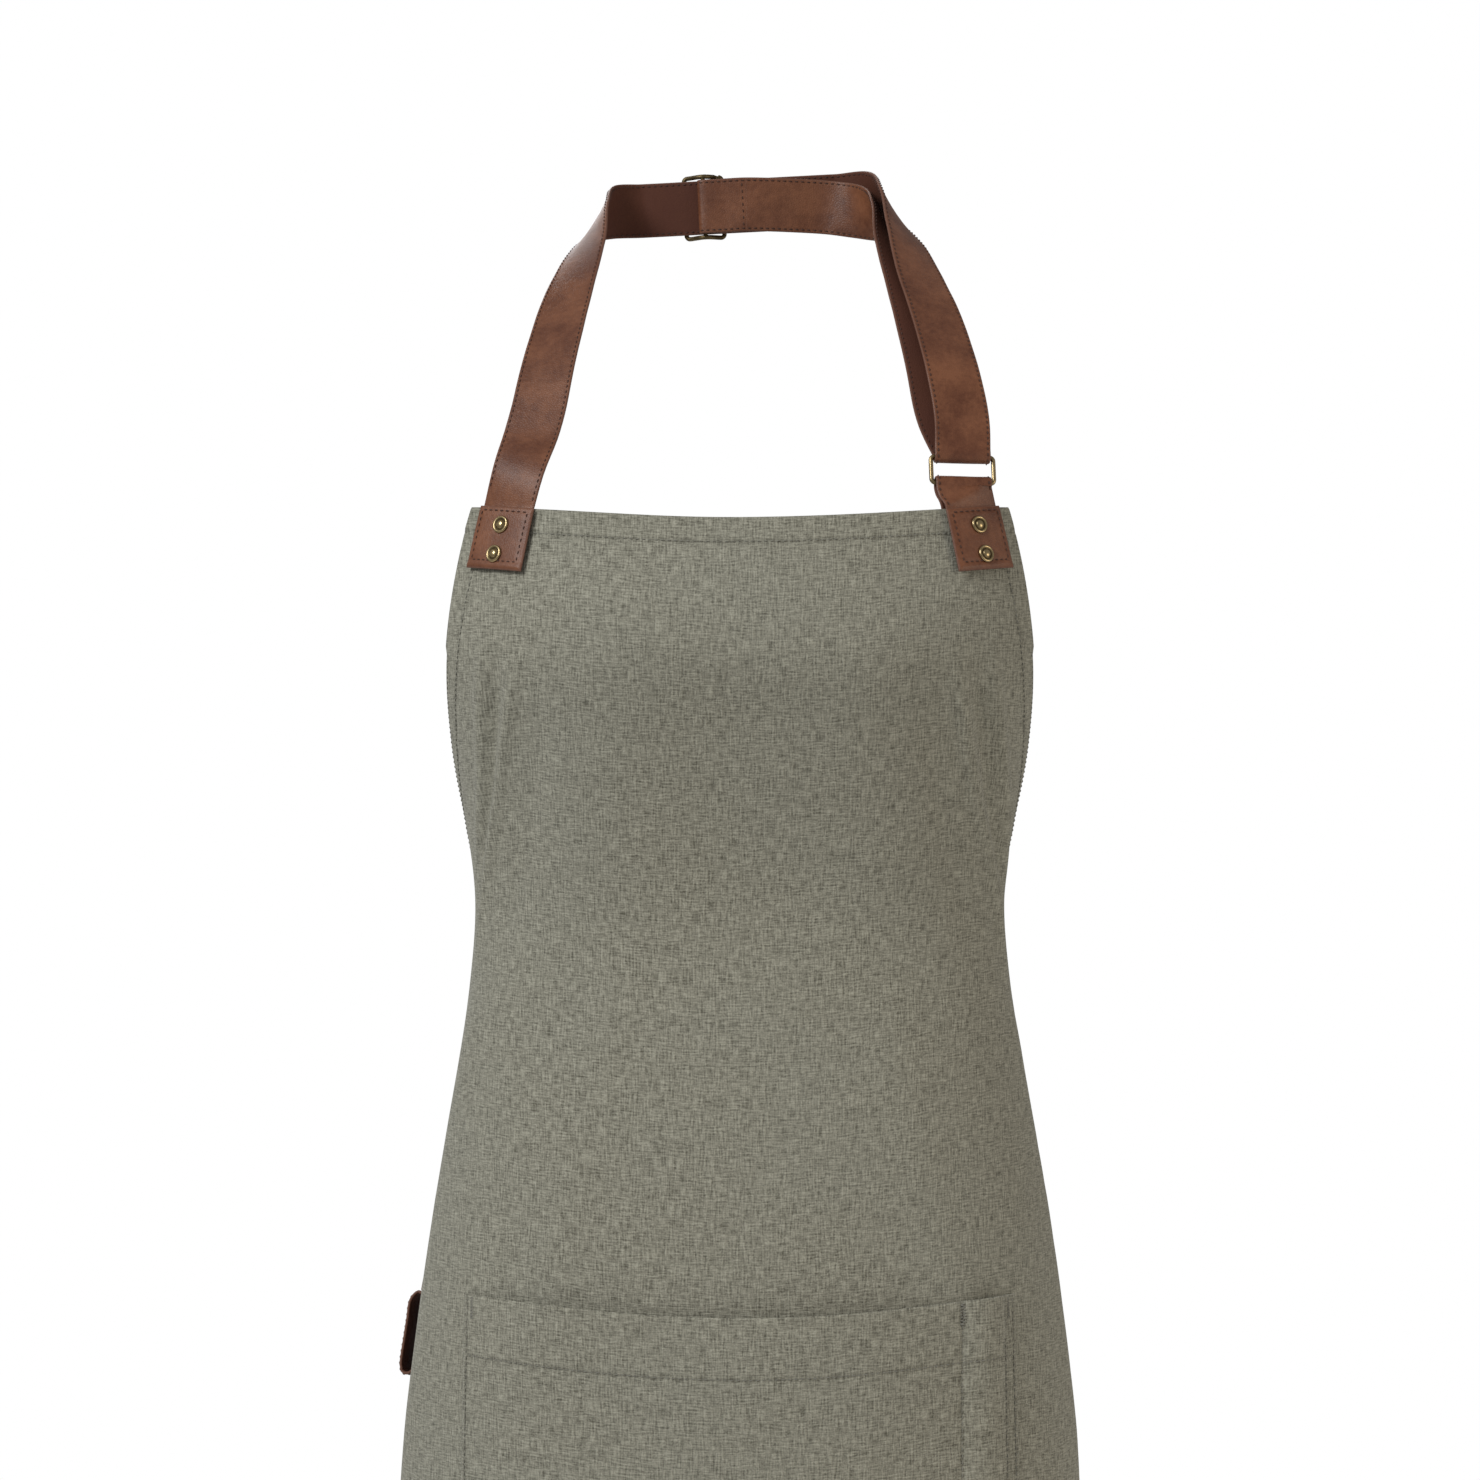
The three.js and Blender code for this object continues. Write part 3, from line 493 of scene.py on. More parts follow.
chambray = cloth_material("slubby_chambray", (0.098, 0.091, 0.066), (0.40, 0.383, 0.306))
brown_leather = leather_material(
    "oiled_leather", (0.100, 0.031, 0.013), (0.205, 0.078, 0.036), (0.062, 0.015, 0.008), (0.15, 0.068, 0.044)
)
antique_brass = metal_material("old_brass", (0.060, 0.042, 0.020), (0.42, 0.32, 0.17))
cloth_thread = thread_material("cloth_thread", (0.26, 0.25, 0.21))
leather_thread = thread_material("leather_thread", (0.075, 0.030, 0.019))
print("materials:", [m.name for m in bpy.data.materials])

# %% [markdown]
# ## The shape the cloth takes
#
# An apron has no shape of its own: it takes the wearer's. Each level of the body is a rounded
# section, |x / side|^n + |y / depth|^n = 1, and the sides and depths are curves through a few
# levels. A place on the flat cloth is ARC, the distance across from the centre line, and DOWN, the
# distance below the bib's top edge. The cloth is laid round the body by walking that far round it.

# %% The body's sections
BODY_Y = -75.0
ROUNDNESS = 2.3
LEVELS = np.array([-1020, -760, -634, -546, -467, -389, -349, -310, -271, -226, -160], float)
SIDES = np.array([177, 171, 165.7, 156.7, 144, 132, 129.5, 134.5, 142.5, 152.5, 151])
DEPTHS = np.array([118, 114, 111, 107, 98, 86, 84, 92, 104, 117, 96], float)


def through_levels(values, z):
    """A smooth curve through the values at the levels: a cubic on each span, whose slope at a
    level is that from the level below it to the level above it."""
    z = np.clip(z, LEVELS[0], LEVELS[-1])
    i = np.clip(np.searchsorted(LEVELS, z, side="right"), 1, len(LEVELS) - 1)
    z0, z1 = LEVELS[i - 1], LEVELS[i]
    before = np.where(i > 1, LEVELS[i - 2], z1)
    after = np.where(i < len(LEVELS) - 1, LEVELS[np.minimum(i + 1, len(LEVELS) - 1)], z0)
    v0, v1 = values[i - 1], values[i]
    v_before = np.where(i > 1, values[i - 2], v1)
    v_after = np.where(i < len(LEVELS) - 1, values[np.minimum(i + 1, len(LEVELS) - 1)], v0)
    half = (z1 - z0) / 2
    p, n = half / (z0 - before), half / (after - z1)
    t = (z - z0) / (z1 - z0)
    t2, t3 = t**2, t**3
    return (
        v_before * (-p * t3 + 2 * p * t2 - p * t)
        + v0 * ((1 + p) * t3 + (-1.5 - 2 * p) * t2 + (-0.5 + p) * t + 1)
        + v1 * ((-1 - n) * t3 + (1.5 + n) * t2 + 0.5 * t)
        + v_after * (n * t3 - n * t2)
    )


# A table of the body, walked round at each level: x and y for a level and a distance.
TABLE_Z = np.arange(-1040.0, -140.0, 2.0)
TABLE_ARC = np.arange(0.0, 500.0, 1.0)
angle = np.linspace(0, np.pi, 1601)
cosine = np.cos(angle)
table_x, table_y = [], []
for side, depth in zip(through_levels(SIDES, TABLE_Z), through_levels(DEPTHS, TABLE_Z)):
    x = side * np.sin(angle) ** (2 / ROUNDNESS)
    y = -depth * np.sign(cosine) * np.abs(cosine) ** (2 / ROUNDNESS)
    walked = np.concatenate([[0.0], np.cumsum(np.hypot(np.diff(x), np.diff(y)))])
    table_x.append(np.interp(TABLE_ARC, walked, x))
    table_y.append(np.interp(TABLE_ARC, walked, y))
table_x, table_y = np.array(table_x), np.array(table_y)


def on_body(arc, z):
    """The point of the body at a height, a distance round it from the front centre."""
    row = np.clip((z - TABLE_Z[0]) / 2.0, 0, len(TABLE_Z) - 1.001)
    column = np.clip(np.abs(arc), 0, TABLE_ARC[-1] - 0.001)
    r, c = row.astype(int), column.astype(int)
    fr, fc = row - r, column - c

    def read(table):
        near = table[r, c] * (1 - fc) + table[r, c + 1] * fc
        far = table[r + 1, c] * (1 - fc) + table[r + 1, c + 1] * fc
        return near * (1 - fr) + far * fr

    return np.stack([np.sign(arc) * read(table_x), BODY_Y + read(table_y), z], -1)


# %% Places on the cloth
BIB_TOP_Z = -166.0
CORNER_LIFT = 7.0
CORNER_LIFT_ARC = 160.0
DRAPE = 0.988
CLOTH = 1.2


def cloth_point(arc, down):
    """The place on the body for a place on the flat cloth. The corners of the bib hang higher than
    its middle, and the cloth's own folds take up a little of its length."""
    arc, down = np.broadcast_arrays(np.asarray(arc, float), np.asarray(down, float))
    k = np.minimum(np.abs(arc) / CORNER_LIFT_ARC, 1)
    z = BIB_TOP_Z + CORNER_LIFT * (1 - np.cos(np.pi * k)) / 2 - down * DRAPE
    return on_body(arc, z)


def cloth_normal(arc, down):
    """The outward normal: the slope down the cloth crossed with the slope across it."""
    step = 2.0
    across = cloth_point(arc + step, down) - cloth_point(arc - step, down)
    along = cloth_point(arc, down + step) - cloth_point(arc, down - step)
    return unit(np.cross(along, across))


def on_cloth(arc, down, offset=0.0):
    """A point at an offset from the cloth's middle, outwards positive."""
    return cloth_point(arc, down) + cloth_normal(arc, down) * np.asarray(offset, float)[..., None]


panel_low, panel_high = box_mm("front_panel")
hem_point = on_cloth(np.array([0.0]), np.array([860.0]))[0]
print("panel box", panel_low, panel_high, "hem at", hem_point)

# %% [markdown]
# ## Folds
#
# A sheet on a rounded body can't lie flat everywhere. Between the chest and the waist the spare
# cloth stands up as a few slanting ridges with hollows beside them, and the free skirt hangs in
# slow waves that grow towards the hem. Each fold is a bell-shaped ridge along a line.


# %% The folds of the panel
def ridge(arc, down, line, height, width):
    """height * exp(-((arc - middle) / width)^2), where the middle follows a line of (down, arc)
    and the height fades at both ends of the line."""
    line = np.array(line, float)
    middle = np.interp(down, line[:, 0], line[:, 1])
    first, last = line[0, 0], line[-1, 0]
    fade = smooth(down, first - 22, first + 18) * (1 - smooth(down, last - 30, last + 25))
    return height * np.exp(-(((arc - middle) / width) ** 2)) * fade


BIB_FOLDS = [
    ([(72, -131), (91, -134), (136, -138), (165, -146)], 2.6, 4.6),
    ([(80, -112), (105, -117), (137, -124), (192, -142), (215, -150)], 3.0, 4.8),
    ([(85, -122), (137, -131), (190, -148)], -2.4, 5.0),
    ([(110, -98), (150, -104), (215, -124)], -1.6, 8.0),
    ([(75, 130), (99, 134), (157, 151), (180, 158)], 2.4, 4.8),
    ([(85, 108), (115, 114), (145, 121), (191, 143), (220, 152)], 3.0, 5.0),
    ([(90, 120), (140, 131), (190, 151)], -2.4, 5.0),
    ([(110, 94), (150, 100), (215, 120)], -1.6, 8.0),
    ([(34, -78), (60, -40), (74, 8)], 2.2, 24.0),
    ([(30, -62), (90, -66), (200, -60)], 3.6, 34.0),
    ([(60, 66), (110, 64), (190, 74)], 2.2, 26.0),
    ([(235, -60), (330, -84), (420, -104)], 1.3, 12.0),
    ([(230, 70), (330, 92), (420, 118)], 1.2, 13.0),
    ([(250, -152), (340, -176), (470, -196)], 1.7, 12.0),
    ([(250, 160), (340, 186), (480, 204)], 1.7, 12.0),
]


def skirt_wave(arc, down):
    """Slow waves of the free skirt: they start below the pocket and grow with the square of the
    distance to the hem, and they keep the front calm."""
    fall = np.clip((down - 430) / 430, 0, 1) ** 1.7
    calm = 0.35 + 0.65 * smooth(np.abs(arc), 60, 230)
    wave = np.sin(arc / 31.0 + 0.6) + 0.55 * np.sin(arc / 17.5 + 2.1 - down / 300)
    return 4.6 * fall * calm * wave


def small_wrinkles(arc, down):
    """Faint unevenness of washed cloth: a few long sines that don't repeat together."""
    a = np.sin(arc / 23.0 + 1.3 * np.sin(down / 61.0)) * np.sin(down / 47.0 + 0.8)
    b = np.sin((arc + down) / 19.0 + 1.1 * np.sin(arc / 53.0))
    c = np.sin((arc - 0.7 * down) / 29.0 + 2.0)
    return 0.16 * a + 0.11 * b + 0.12 * c


PATCH_ARC = 117.8


def drape(arc, down):
    """How far the cloth stands off the body: all folds together, but none under the patches."""
    total = skirt_wave(arc, down) + small_wrinkles(arc, down)
    for line, height, width in BIB_FOLDS:
        total = total + ridge(arc, down, line, height, width)
    near = np.hypot((np.abs(arc) - PATCH_ARC) / 26.0, (down - 14.0) / 30.0)
    return total * smooth(near, 0.8, 1.5)


# %% [markdown]
# ## The front panel
#
# Bib and skirt are one cloth. Its armholes are curved, its edges are turned in twice and stitched,
# so a hem is a little thicker, is dented along its stitches and puckers between them. The grid's
# rows follow the edge and its columns crowd where the hems are.

# %% The outline of the panel
PANEL_LENGTH = 860.0
PANEL_HALF = 360.0
BIB_HALF = 136.0
ARMHOLE_DEPTH = 300.0
HEM = 11.0
TOP_HEM = 12.0
FOOT_HEM = 25.0
HEM_END = 70.0  # where the bib's turned hem gives way to the armhole's facing

share = np.linspace(0, 1, 1201)
corners = np.array([(BIB_HALF, 0), (BIB_HALF + 50, 0.35 * ARMHOLE_DEPTH), (BIB_HALF + 40, 262), (360, 300)])
weights = np.stack([(1 - share) ** 3, 3 * (1 - share) ** 2 * share, 3 * (1 - share) * share**2, share**3], -1)
armhole = weights @ corners


def half_width(down):
    """Half the width of the flat cloth at a distance below the top edge."""
    half = np.interp(down, armhole[:, 1], armhole[:, 0])
    return half + 1.1 * (1 - smooth(down, HEM_END - 1.5, HEM_END + 0.5))


side_line = np.concatenate([armhole[::8], [(PANEL_HALF, d) for d in range(304, 868, 4)]])


def edge_distance(arc, down):
    """Distance to the side edge, on the flat cloth."""
    flat = np.stack([np.abs(arc).ravel(), down.ravel()], -1)
    best = np.full(len(flat), 1e9)
    for a, b in zip(side_line[:-1], side_line[1:]):
        along = b - a
        t = np.clip(((flat - a) @ along) / (along @ along), 0, 1)
        best = np.minimum(best, np.hypot(*(flat - a - t[:, None] * along).T))
    return best.reshape(arc.shape)


def hem_form(distance, width, run):
    """Thickness and dent of a hem, how far the cloth there is pulled into puckers, and a mask along its
    stitch line for painted shade in the dent.
    """
    thick = 0.34 * (1 - smooth(distance, width - 0.6, width + 1.0))
    dent = 0.42 * np.exp(-(((distance - width) / 0.9) ** 2))
    pucker = 0.24 * np.sin(run / 2.3 + 1.7 * np.sin(run / 11.0)) * np.exp(-(((distance - width) / 3.6) ** 2))
    return thick - dent + pucker, np.exp(-(((distance - width) / 0.8) ** 2))


# %% The panel's grid
crowded = 20.0 * np.linspace(0, 1, 13) ** 1.25
rows_down = np.concatenate(
    [
        np.arange(0, 16, 1.15),
        np.interp(np.linspace(0.055, 1, 86), share, armhole[:, 1])[1:],
        np.linspace(ARMHOLE_DEPTH, PANEL_LENGTH - 30, 128)[1:],
        np.linspace(PANEL_LENGTH - 30, PANEL_LENGTH, 17)[1:],
    ]
)
inner = np.linspace(-1, 1, 146)[1:-1]


def panel_places(down):
    """Arc of each grid point: fixed steps near the two edges and even shares between them."""
    half = half_width(down)[:, None]
    return np.concatenate([-half + crowded, inner * (half - 20.0), half - crowded[::-1]], 1)


arc = panel_places(rows_down)
down = np.broadcast_to(rows_down[:, None], arc.shape)
to_side = edge_distance(arc, down)
# The second value of each hem is a mask for painted shade along its stitch groove.
side_form, side_seam_shade = hem_form(to_side, HEM, down + 0.4 * np.abs(arc))
top_form, top_seam_shade = hem_form(down, TOP_HEM, arc)
foot_form, foot_seam_shade = hem_form(PANEL_LENGTH - down, FOOT_HEM, arc)
bump = side_form + top_form + foot_form
lie = on_cloth(arc, down, drape(arc, down) + bump * 0.5)
border = np.minimum(np.minimum(to_side, down), PANEL_LENGTH - down)
panel = piece(
    "apron_panel",
    [
        slab(
            lie,
            grid_normals(lie),
            0.45 * (0.35 + 0.65 * smooth(border, 0, 1.0)) + 0.25 * np.maximum(bump, 0),
            uv=np.stack([arc, -down], -1),
            seam=np.clip(side_seam_shade + top_seam_shade + foot_seam_shade, 0, 1),
        )
    ],
    [chambray],
    "apron",
    replaces=["front_panel"],
)

# %% [markdown]
# ## Stitches
#
# A lockstitch shows as a row of short threads, each dipping into the cloth at both ends. One
# stitch has two dozen faces, and a whole row is made at once as arrays.


# %% Rows of stitches
def stitches(line, normal, pitch=3.0, length=2.2, radius=0.24, finish=0):
    """Threads along a line of points: each is a round section along a low arch,
    height = radius * (1.3 - 2.2 (2t)^2), for t from -1/2 to 1/2 of its length."""
    line, normal = np.asarray(line, float), np.asarray(normal, float)
    walked = np.concatenate([[0.0], np.cumsum(np.linalg.norm(np.diff(line, axis=0), axis=1))])
    count = max(int(walked[-1] / pitch), 1)
    t = np.linspace(-0.5, 0.5, 5)
    at = (np.arange(count)[:, None] + 0.5) * walked[-1] / count + t * length
    centre = np.stack([np.interp(at, walked, line[:, i]) for i in range(3)], -1)
    up = unit(np.stack([np.interp(at, walked, normal[:, i]) for i in range(3)], -1))
    along = unit(np.gradient(centre, axis=1))
    across = unit(np.cross(along, up))
    centre = centre + up * (radius * (1.3 - 2.2 * (2 * t) ** 2))[None, :, None]
    thick = radius * np.array([0.45, 0.9, 1.0, 0.9, 0.45])
    turn = np.linspace(0, 2 * np.pi, 6, endpoint=False)
    ring = np.cos(turn)[:, None] * across[:, :, None] + np.sin(turn)[:, None] * up[:, :, None]
    points = centre[:, :, None] + thick[None, :, None, None] * ring
    one = np.concatenate([quads(5, 6, False, True), end_caps(5, 6)])
    faces = (one[None] + np.arange(count)[:, None, None] * 30).reshape(-1, 4)
    return Shell(points, faces, finish=finish, side=1.0)


def cloth_row(arc, down, offset, **sizes):
    """A row of stitches that follows places on the draped cloth."""
    arc, down = np.broadcast_arrays(np.asarray(arc, float), np.asarray(down, float))
    return stitches(on_cloth(arc, down, drape(arc, down) + offset), cloth_normal(arc, down), **sizes)


def inside_edge(inset, first, last, side):
    """Places along the armhole's edge, moved in from it by an inset."""
    keep = (armhole[:, 1] >= first) & (armhole[:, 1] <= last)
    edge = armhole[keep][::6]
    slope = unit(np.gradient(edge, axis=0))
    return side * (edge[:, 0] - slope[:, 1] * inset), edge[:, 1] + slope[:, 0] * inset


FACE = 0.5  # the cloth's outer face, from its middle
rows = []
for side in (-1, 1):
    rows.append(cloth_row(*inside_edge(HEM, 8, ARMHOLE_DEPTH, side), FACE))
    rows.append(cloth_row(*inside_edge(1.8, HEM_END, ARMHOLE_DEPTH, side), FACE + 0.1))
    below = np.linspace(ARMHOLE_DEPTH + 8, PANEL_LENGTH - 3, 200)
    rows.append(cloth_row(side * (PANEL_HALF - HEM), below, FACE))
rows.append(cloth_row(np.linspace(-104, 104, 120), TOP_HEM, FACE))
rows.append(cloth_row(np.linspace(-PANEL_HALF + 2, PANEL_HALF - 2, 300), PANEL_LENGTH - FOOT_HEM, FACE))
piece("panel_stitches", rows, [cloth_thread], "apron")

# %% [markdown]
# ## The armhole facings
#
# The curved edge can't be turned in twice, so a bias strip is sewn behind it. It is cut on the
# bias, so its weave runs slantwise to the panel's.


# %% The facings
def facing(name, side, node):
    """A strip behind the armhole's edge, inset by up to its width, with its weave turned 45 deg."""
    inset = np.array([0.4, 1.2, 3.0, 5.0, 7.0, 9.0, 10.6, 11.2])
    lines = [inside_edge(i, HEM_END - 4, ARMHOLE_DEPTH - 3, side) for i in inset]
    arc = np.stack([a for a, _ in lines], 1)
    down = np.stack([d for _, d in lines], 1)
    middle = on_cloth(arc, down, drape(arc, down) - FACE - 0.75)
    half = np.array([0.15, 0.45, 0.4, 0.32, 0.32, 0.4, 0.4, 0.12])
    uv = np.stack([arc + down, arc - down], -1) / math.sqrt(2)
    strip = slab(middle, grid_normals(middle), half, uv=uv)
    thing = piece(name, [strip], [chambray], "apron", replaces=[node])


facing("armhole_facing_left", -1, "left_armhole_facing")
facing("armhole_facing_right", 1, "right_armhole_facing")

# %% [markdown]
# ## The pocket
#
# One wide patch pocket with a deep top hem. Its sides and its foot are sewn flat, and a stitched
# divider near its right side makes a pen slot. Between the seams it stands a little off the panel,
# most of all at its mouth.

# %% The pocket's stand-off
POCKET_HALF = 140.0
POCKET_TOP = 381.0
POCKET_HEIGHT = 200.0
POCKET_HEM = 29.0
DIVIDER = POCKET_HALF - 33.0
POCKET_BORDER = POCKET_HALF - 7.0


def bell(x, low, high):
    return np.sin(np.pi * np.clip((x - low) / (high - low), 0, 1))


def pocket_gape(arc, depth):
    """How far the pocket stands off the panel at a depth below its mouth: two bulges between the
    seams, fullest at the mouth and gone at the foot."""
    main = 5.4 * np.minimum(1, 1.7 * bell(arc, -POCKET_BORDER, DIVIDER)) ** 0.9
    slack = 1.2 * bell(arc, -POCKET_BORDER, DIVIDER) * np.sin(arc / 24.0 + depth / 60.0)
    slot = 4.6 * bell(arc, DIVIDER, POCKET_BORDER) ** 0.8
    stand = np.where(arc < DIVIDER, main + slack, slot)
    foot = smooth(POCKET_HEIGHT - 6 - depth, 0, 90)
    belly = 1.0 - 0.25 * smooth(depth, 0, 60)
    return np.maximum(stand, 0) * foot * belly


def pocket_creases(arc, depth):
    """Short slanting wrinkles under the hem at the left and a pinch at the pen slot's foot."""
    slant = arc + 102 - 1.45 * (depth - 52)
    left = 0.9 * np.exp(-((slant / 4.0) ** 2) - ((arc + 104) / 15.0) ** 2 - ((depth - 52) / 12.0) ** 2)
    second = arc + 112 - 1.45 * (depth - 66)
    near_crease = ((arc + 112) / 13.0) ** 2 + ((depth - 66) / 12.0) ** 2
    left = left + 0.6 * np.exp(-((second / 3.5) ** 2) - near_crease)
    pinch = -1.3 * np.exp(-(((depth - 66) / 2.2) ** 2) - ((arc - 120) / 10.0) ** 2)
    lift = 1.1 * np.exp(-(((depth - 60) / 4.0) ** 2) - ((arc - 118) / 12.0) ** 2)
    return left + pinch + lift


# %% The pocket's grid
crowd = 10.0 * np.linspace(0, 1, 9) ** 1.2
columns = np.concatenate(
    [
        -POCKET_HALF + crowd,
        np.linspace(-POCKET_HALF + 12, DIVIDER - 8, 78),
        np.linspace(DIVIDER - 6, DIVIDER + 6, 13),
        np.linspace(DIVIDER + 8, POCKET_HALF - 11.5, 9),
        POCKET_HALF - crowd[::-1],
    ]
)
depths = np.concatenate(
    [
        np.linspace(0, 5, 6),
        np.linspace(5, POCKET_HEM - 4, 11)[1:],
        np.linspace(POCKET_HEM - 4, POCKET_HEM + 4, 9)[1:],
        np.linspace(POCKET_HEM + 4, POCKET_HEIGHT - 8, 74)[1:],
        np.linspace(POCKET_HEIGHT - 8, POCKET_HEIGHT, 8)[1:],
    ]
)
arc, depth = np.meshgrid(columns, depths)
down = POCKET_TOP + depth
# Masks of painted shade along the pocket's hem, side and foot stitch lines.
hem_thick, hem_seam_shade = hem_form(depth, POCKET_HEM, arc)
side_gap = POCKET_HALF - np.abs(arc)
inner_row = np.exp(-(((side_gap - 8.2) / 0.9) ** 2)) * (arc > 0)
side_dent = 0.35 * np.exp(-(((side_gap - 2.2) / 0.9) ** 2)) + 0.35 * inner_row
side_seam_shade = np.exp(-(((side_gap - 2.2) / 0.8) ** 2)) + inner_row
# split dents the divider's line and also paints shade along it.
split = np.exp(-(((arc - DIVIDER) / 1.0) ** 2))
pucker = 0.3 * np.sin(depth / 2.2) * np.exp(-(((arc - DIVIDER) / 4.5) ** 2))
pucker = pucker + 0.25 * np.sin(depth / 2.4 + 1) * np.exp(-(((side_gap - 8) / 4.0) ** 2))
foot_seam_shade = np.exp(-(((POCKET_HEIGHT - depth - 2.2) / 0.8) ** 2))
bump = hem_thick - side_dent - 0.5 * split + pucker + pocket_creases(arc, depth)
stand = FACE + 0.75 + pocket_gape(arc, depth) + drape(arc, down) + bump * 0.6
lie = on_cloth(arc, down, stand)
border = np.minimum(np.minimum(side_gap, POCKET_HEIGHT - depth), depth)
pocket = piece(
    "pocket",
    [
        slab(
            lie,
            grid_normals(lie),
            0.42 * (0.35 + 0.65 * smooth(border, 0, 1.0)) + 0.3 * np.maximum(hem_thick, 0),
            uv=np.stack([arc + 3.0, -down - 7.0], -1),
            seam=np.clip(0.6 * hem_seam_shade + side_seam_shade + 0.35 * split + foot_seam_shade, 0, 1),
        )
    ],
    [chambray],
    "apron",
    replaces=["front_pocket"],
)


# %% The pocket's stitches and bartacks
def pocket_row(arc, depth, **sizes):
    arc, depth = np.broadcast_arrays(np.asarray(arc, float), np.asarray(depth, float))
    down = POCKET_TOP + depth
    offset = FACE + 1.2 + pocket_gape(arc, depth) + drape(arc, down) + 0.6 * pocket_creases(arc, depth)
    return stitches(on_cloth(arc, down, offset), cloth_normal(arc, down), **sizes)


def bartack(arc, depth):
    """A short dense zigzag that locks the end of a seam."""
    k = np.arange(15)
    return pocket_row(arc + 1.5 * (-1.0) ** k, depth + k * 0.75, pitch=3.1, length=3.2, radius=0.3)


fall = np.linspace(1.5, POCKET_HEIGHT - 2, 120)
wide = np.linspace(-POCKET_HALF + 3, POCKET_HALF - 3, 160)
rows = [
    pocket_row(wide, POCKET_HEM),
    pocket_row(-POCKET_HALF + 2.2, fall),
    pocket_row(POCKET_HALF - 2.2, fall),
    pocket_row(POCKET_HALF - 8.2, fall),
    pocket_row(DIVIDER, fall),
    pocket_row(wide, POCKET_HEIGHT - 2.2),
    bartack(DIVIDER, 1.0),
    bartack(-POCKET_HALF + 5.2, 1.0),
    bartack(POCKET_HALF - 5.2, 1.0),
]
piece("pocket_stitches", rows, [cloth_thread], "apron")

# %% [markdown]
# ## The leather strap
#
# The strap is one long strip whose middle runs through stations. Each station is a point and the
# way the grain side faces there; between stations both are centripetal Catmull-Rom curves. Four
# lengths of it move apart, so each is its own object, and the lengths meet without a gap.


# %% Routes
class Route:
    """A centripetal Catmull-Rom curve through stations (point, facing); k counts the stations."""

    def __init__(self, stations):
        self.at = np.array([s[0] for s in stations], float)
        self.face = np.array([s[1] for s in stations], float)
        self.last = len(stations) - 1
        self.marks = np.linspace(0, self.last, 60 * self.last + 1)
        steps = np.linalg.norm(np.diff(self.curve(self.at, self.marks), axis=0), axis=1)
        self.run = np.concatenate([[0.0], np.cumsum(steps)])

    def walked(self, k):
        """The distance along the route to the places k."""
        return np.interp(k, self.marks, self.run)

    def curve(self, values, k):
        ends = [2 * values[:1] - values[1:2], 2 * values[-1:] - values[-2:-1]]
        p = np.concatenate([ends[0], values, ends[1]])
        i = np.clip(k.astype(int), 0, self.last - 1)
        t = (k - i)[:, None]
        p0, p1, p2, p3 = p[i], p[i + 1], p[i + 2], p[i + 3]
        d0, d1, d2 = (np.maximum(np.linalg.norm(b - a, axis=1), 1e-4)[:, None] ** 0.5 for a, b in
                      ((p0, p1), (p1, p2), (p2, p3)))
        m1 = ((p1 - p0) / d0 - (p2 - p0) / (d0 + d1) + (p2 - p1) / d1) * d1
        m2 = ((p2 - p1) / d1 - (p3 - p1) / (d1 + d2) + (p3 - p2) / d2) * d1
        cube = (2 * p1 - 2 * p2 + m1 + m2) * t**3
        return cube + (3 * p2 - 3 * p1 - 2 * m1 - m2) * t**2 + m1 * t + p1

    def frame(self, k):
        """Points, directions across and facing directions at the places k of the route."""
        k = np.clip(np.atleast_1d(np.asarray(k, float)), 0, self.last)
        step = 0.004
        at = self.curve(self.at, k)
        ahead = self.curve(self.at, np.minimum(k + step, self.last))
        along = unit(ahead - self.curve(self.at, np.maximum(k - step, 0)))
        across = unit(np.cross(along, self.curve(self.face, k)))
        return at, along, across, np.cross(across, along)


LEATHER = 1.5
STRAP_WIDTH = 27.2
EDGE_COLUMNS = np.array([0.0, 0.12, 0.35, 0.7, 1.2, 1.5, 1.9, 3.0, 5.0, 8.0])
ROUND = np.array([0.36, 0.62, 0.84, 0.96, 1.0, 0.93, 1.0, 1.0, 1.0, 1.0])
STITCH_INSET = 1.5


def leather_columns(width):
    """Places across a strip, crowded at its rounded edges, and the share of the full thickness
    there: an edge is rounded and the stitches press a groove near it."""
    left = EDGE_COLUMNS[EDGE_COLUMNS < width / 2 - 0.5]
    across = np.concatenate([left - width / 2, width / 2 - left[::-1]])
    thick = np.concatenate([ROUND[: len(left)], ROUND[: len(left)][::-1]])
    painted = np.concatenate([1 - smooth(left, 0.1, 0.9), (1 - smooth(left, 0.1, 0.9))[::-1]])
    return across, thick, painted


def strip_surface(route, k, across, starts=None, ends=None):
    """The middle and the normal of a strip at places k along its route. Where it starts or ends on
    the cloth it changes from the cloth's bend to the route's own frame over a short reach. Its
    surface is slightly uneven: 0.08 sin(walked / 9) + 0.06 sin(walked / 3.7 + across / 4)."""
    at, _, over, face = route.frame(k)
    walked = route.walked(k)
    wave = 0.08 * np.sin(walked[:, None] / 9.0) + 0.06 * np.sin(walked[:, None] / 3.7 + across / 4.0)
    middle = at[:, None] + over[:, None] * across[:, None] + face[:, None] * wave[..., None]
    normal = np.broadcast_to(face[:, None], middle.shape)
    for hold, away in ((starts, walked), (ends, route.run[-1] - walked)):
        if hold is None:
            continue
        side, offset, outward, reach = hold
        arc, down = on_patch(side, across[None], LEG_TOP - np.minimum(away, reach + 1)[:, None])
        keep = (1 - smooth(away, 0, reach))[:, None, None]
        middle = middle + keep * (on_cloth(arc, down, np.full(arc.shape, offset)) - middle)
        normal = normal + keep * (cloth_normal(arc, down) * outward - normal)
    return middle, unit(normal)


def leg_surface(hold, y, across):
    """The part of a strip that lies flat on the cloth, under a patch or behind the bib."""
    side, offset, outward, _ = hold
    arc, down = on_patch(side, across[None], y[:, None])
    return on_cloth(arc, down, np.full(arc.shape, offset)), cloth_normal(arc, down) * outward


END_ROW = 0.012  # of a span: a row this close to each end keeps the shading straight up to it


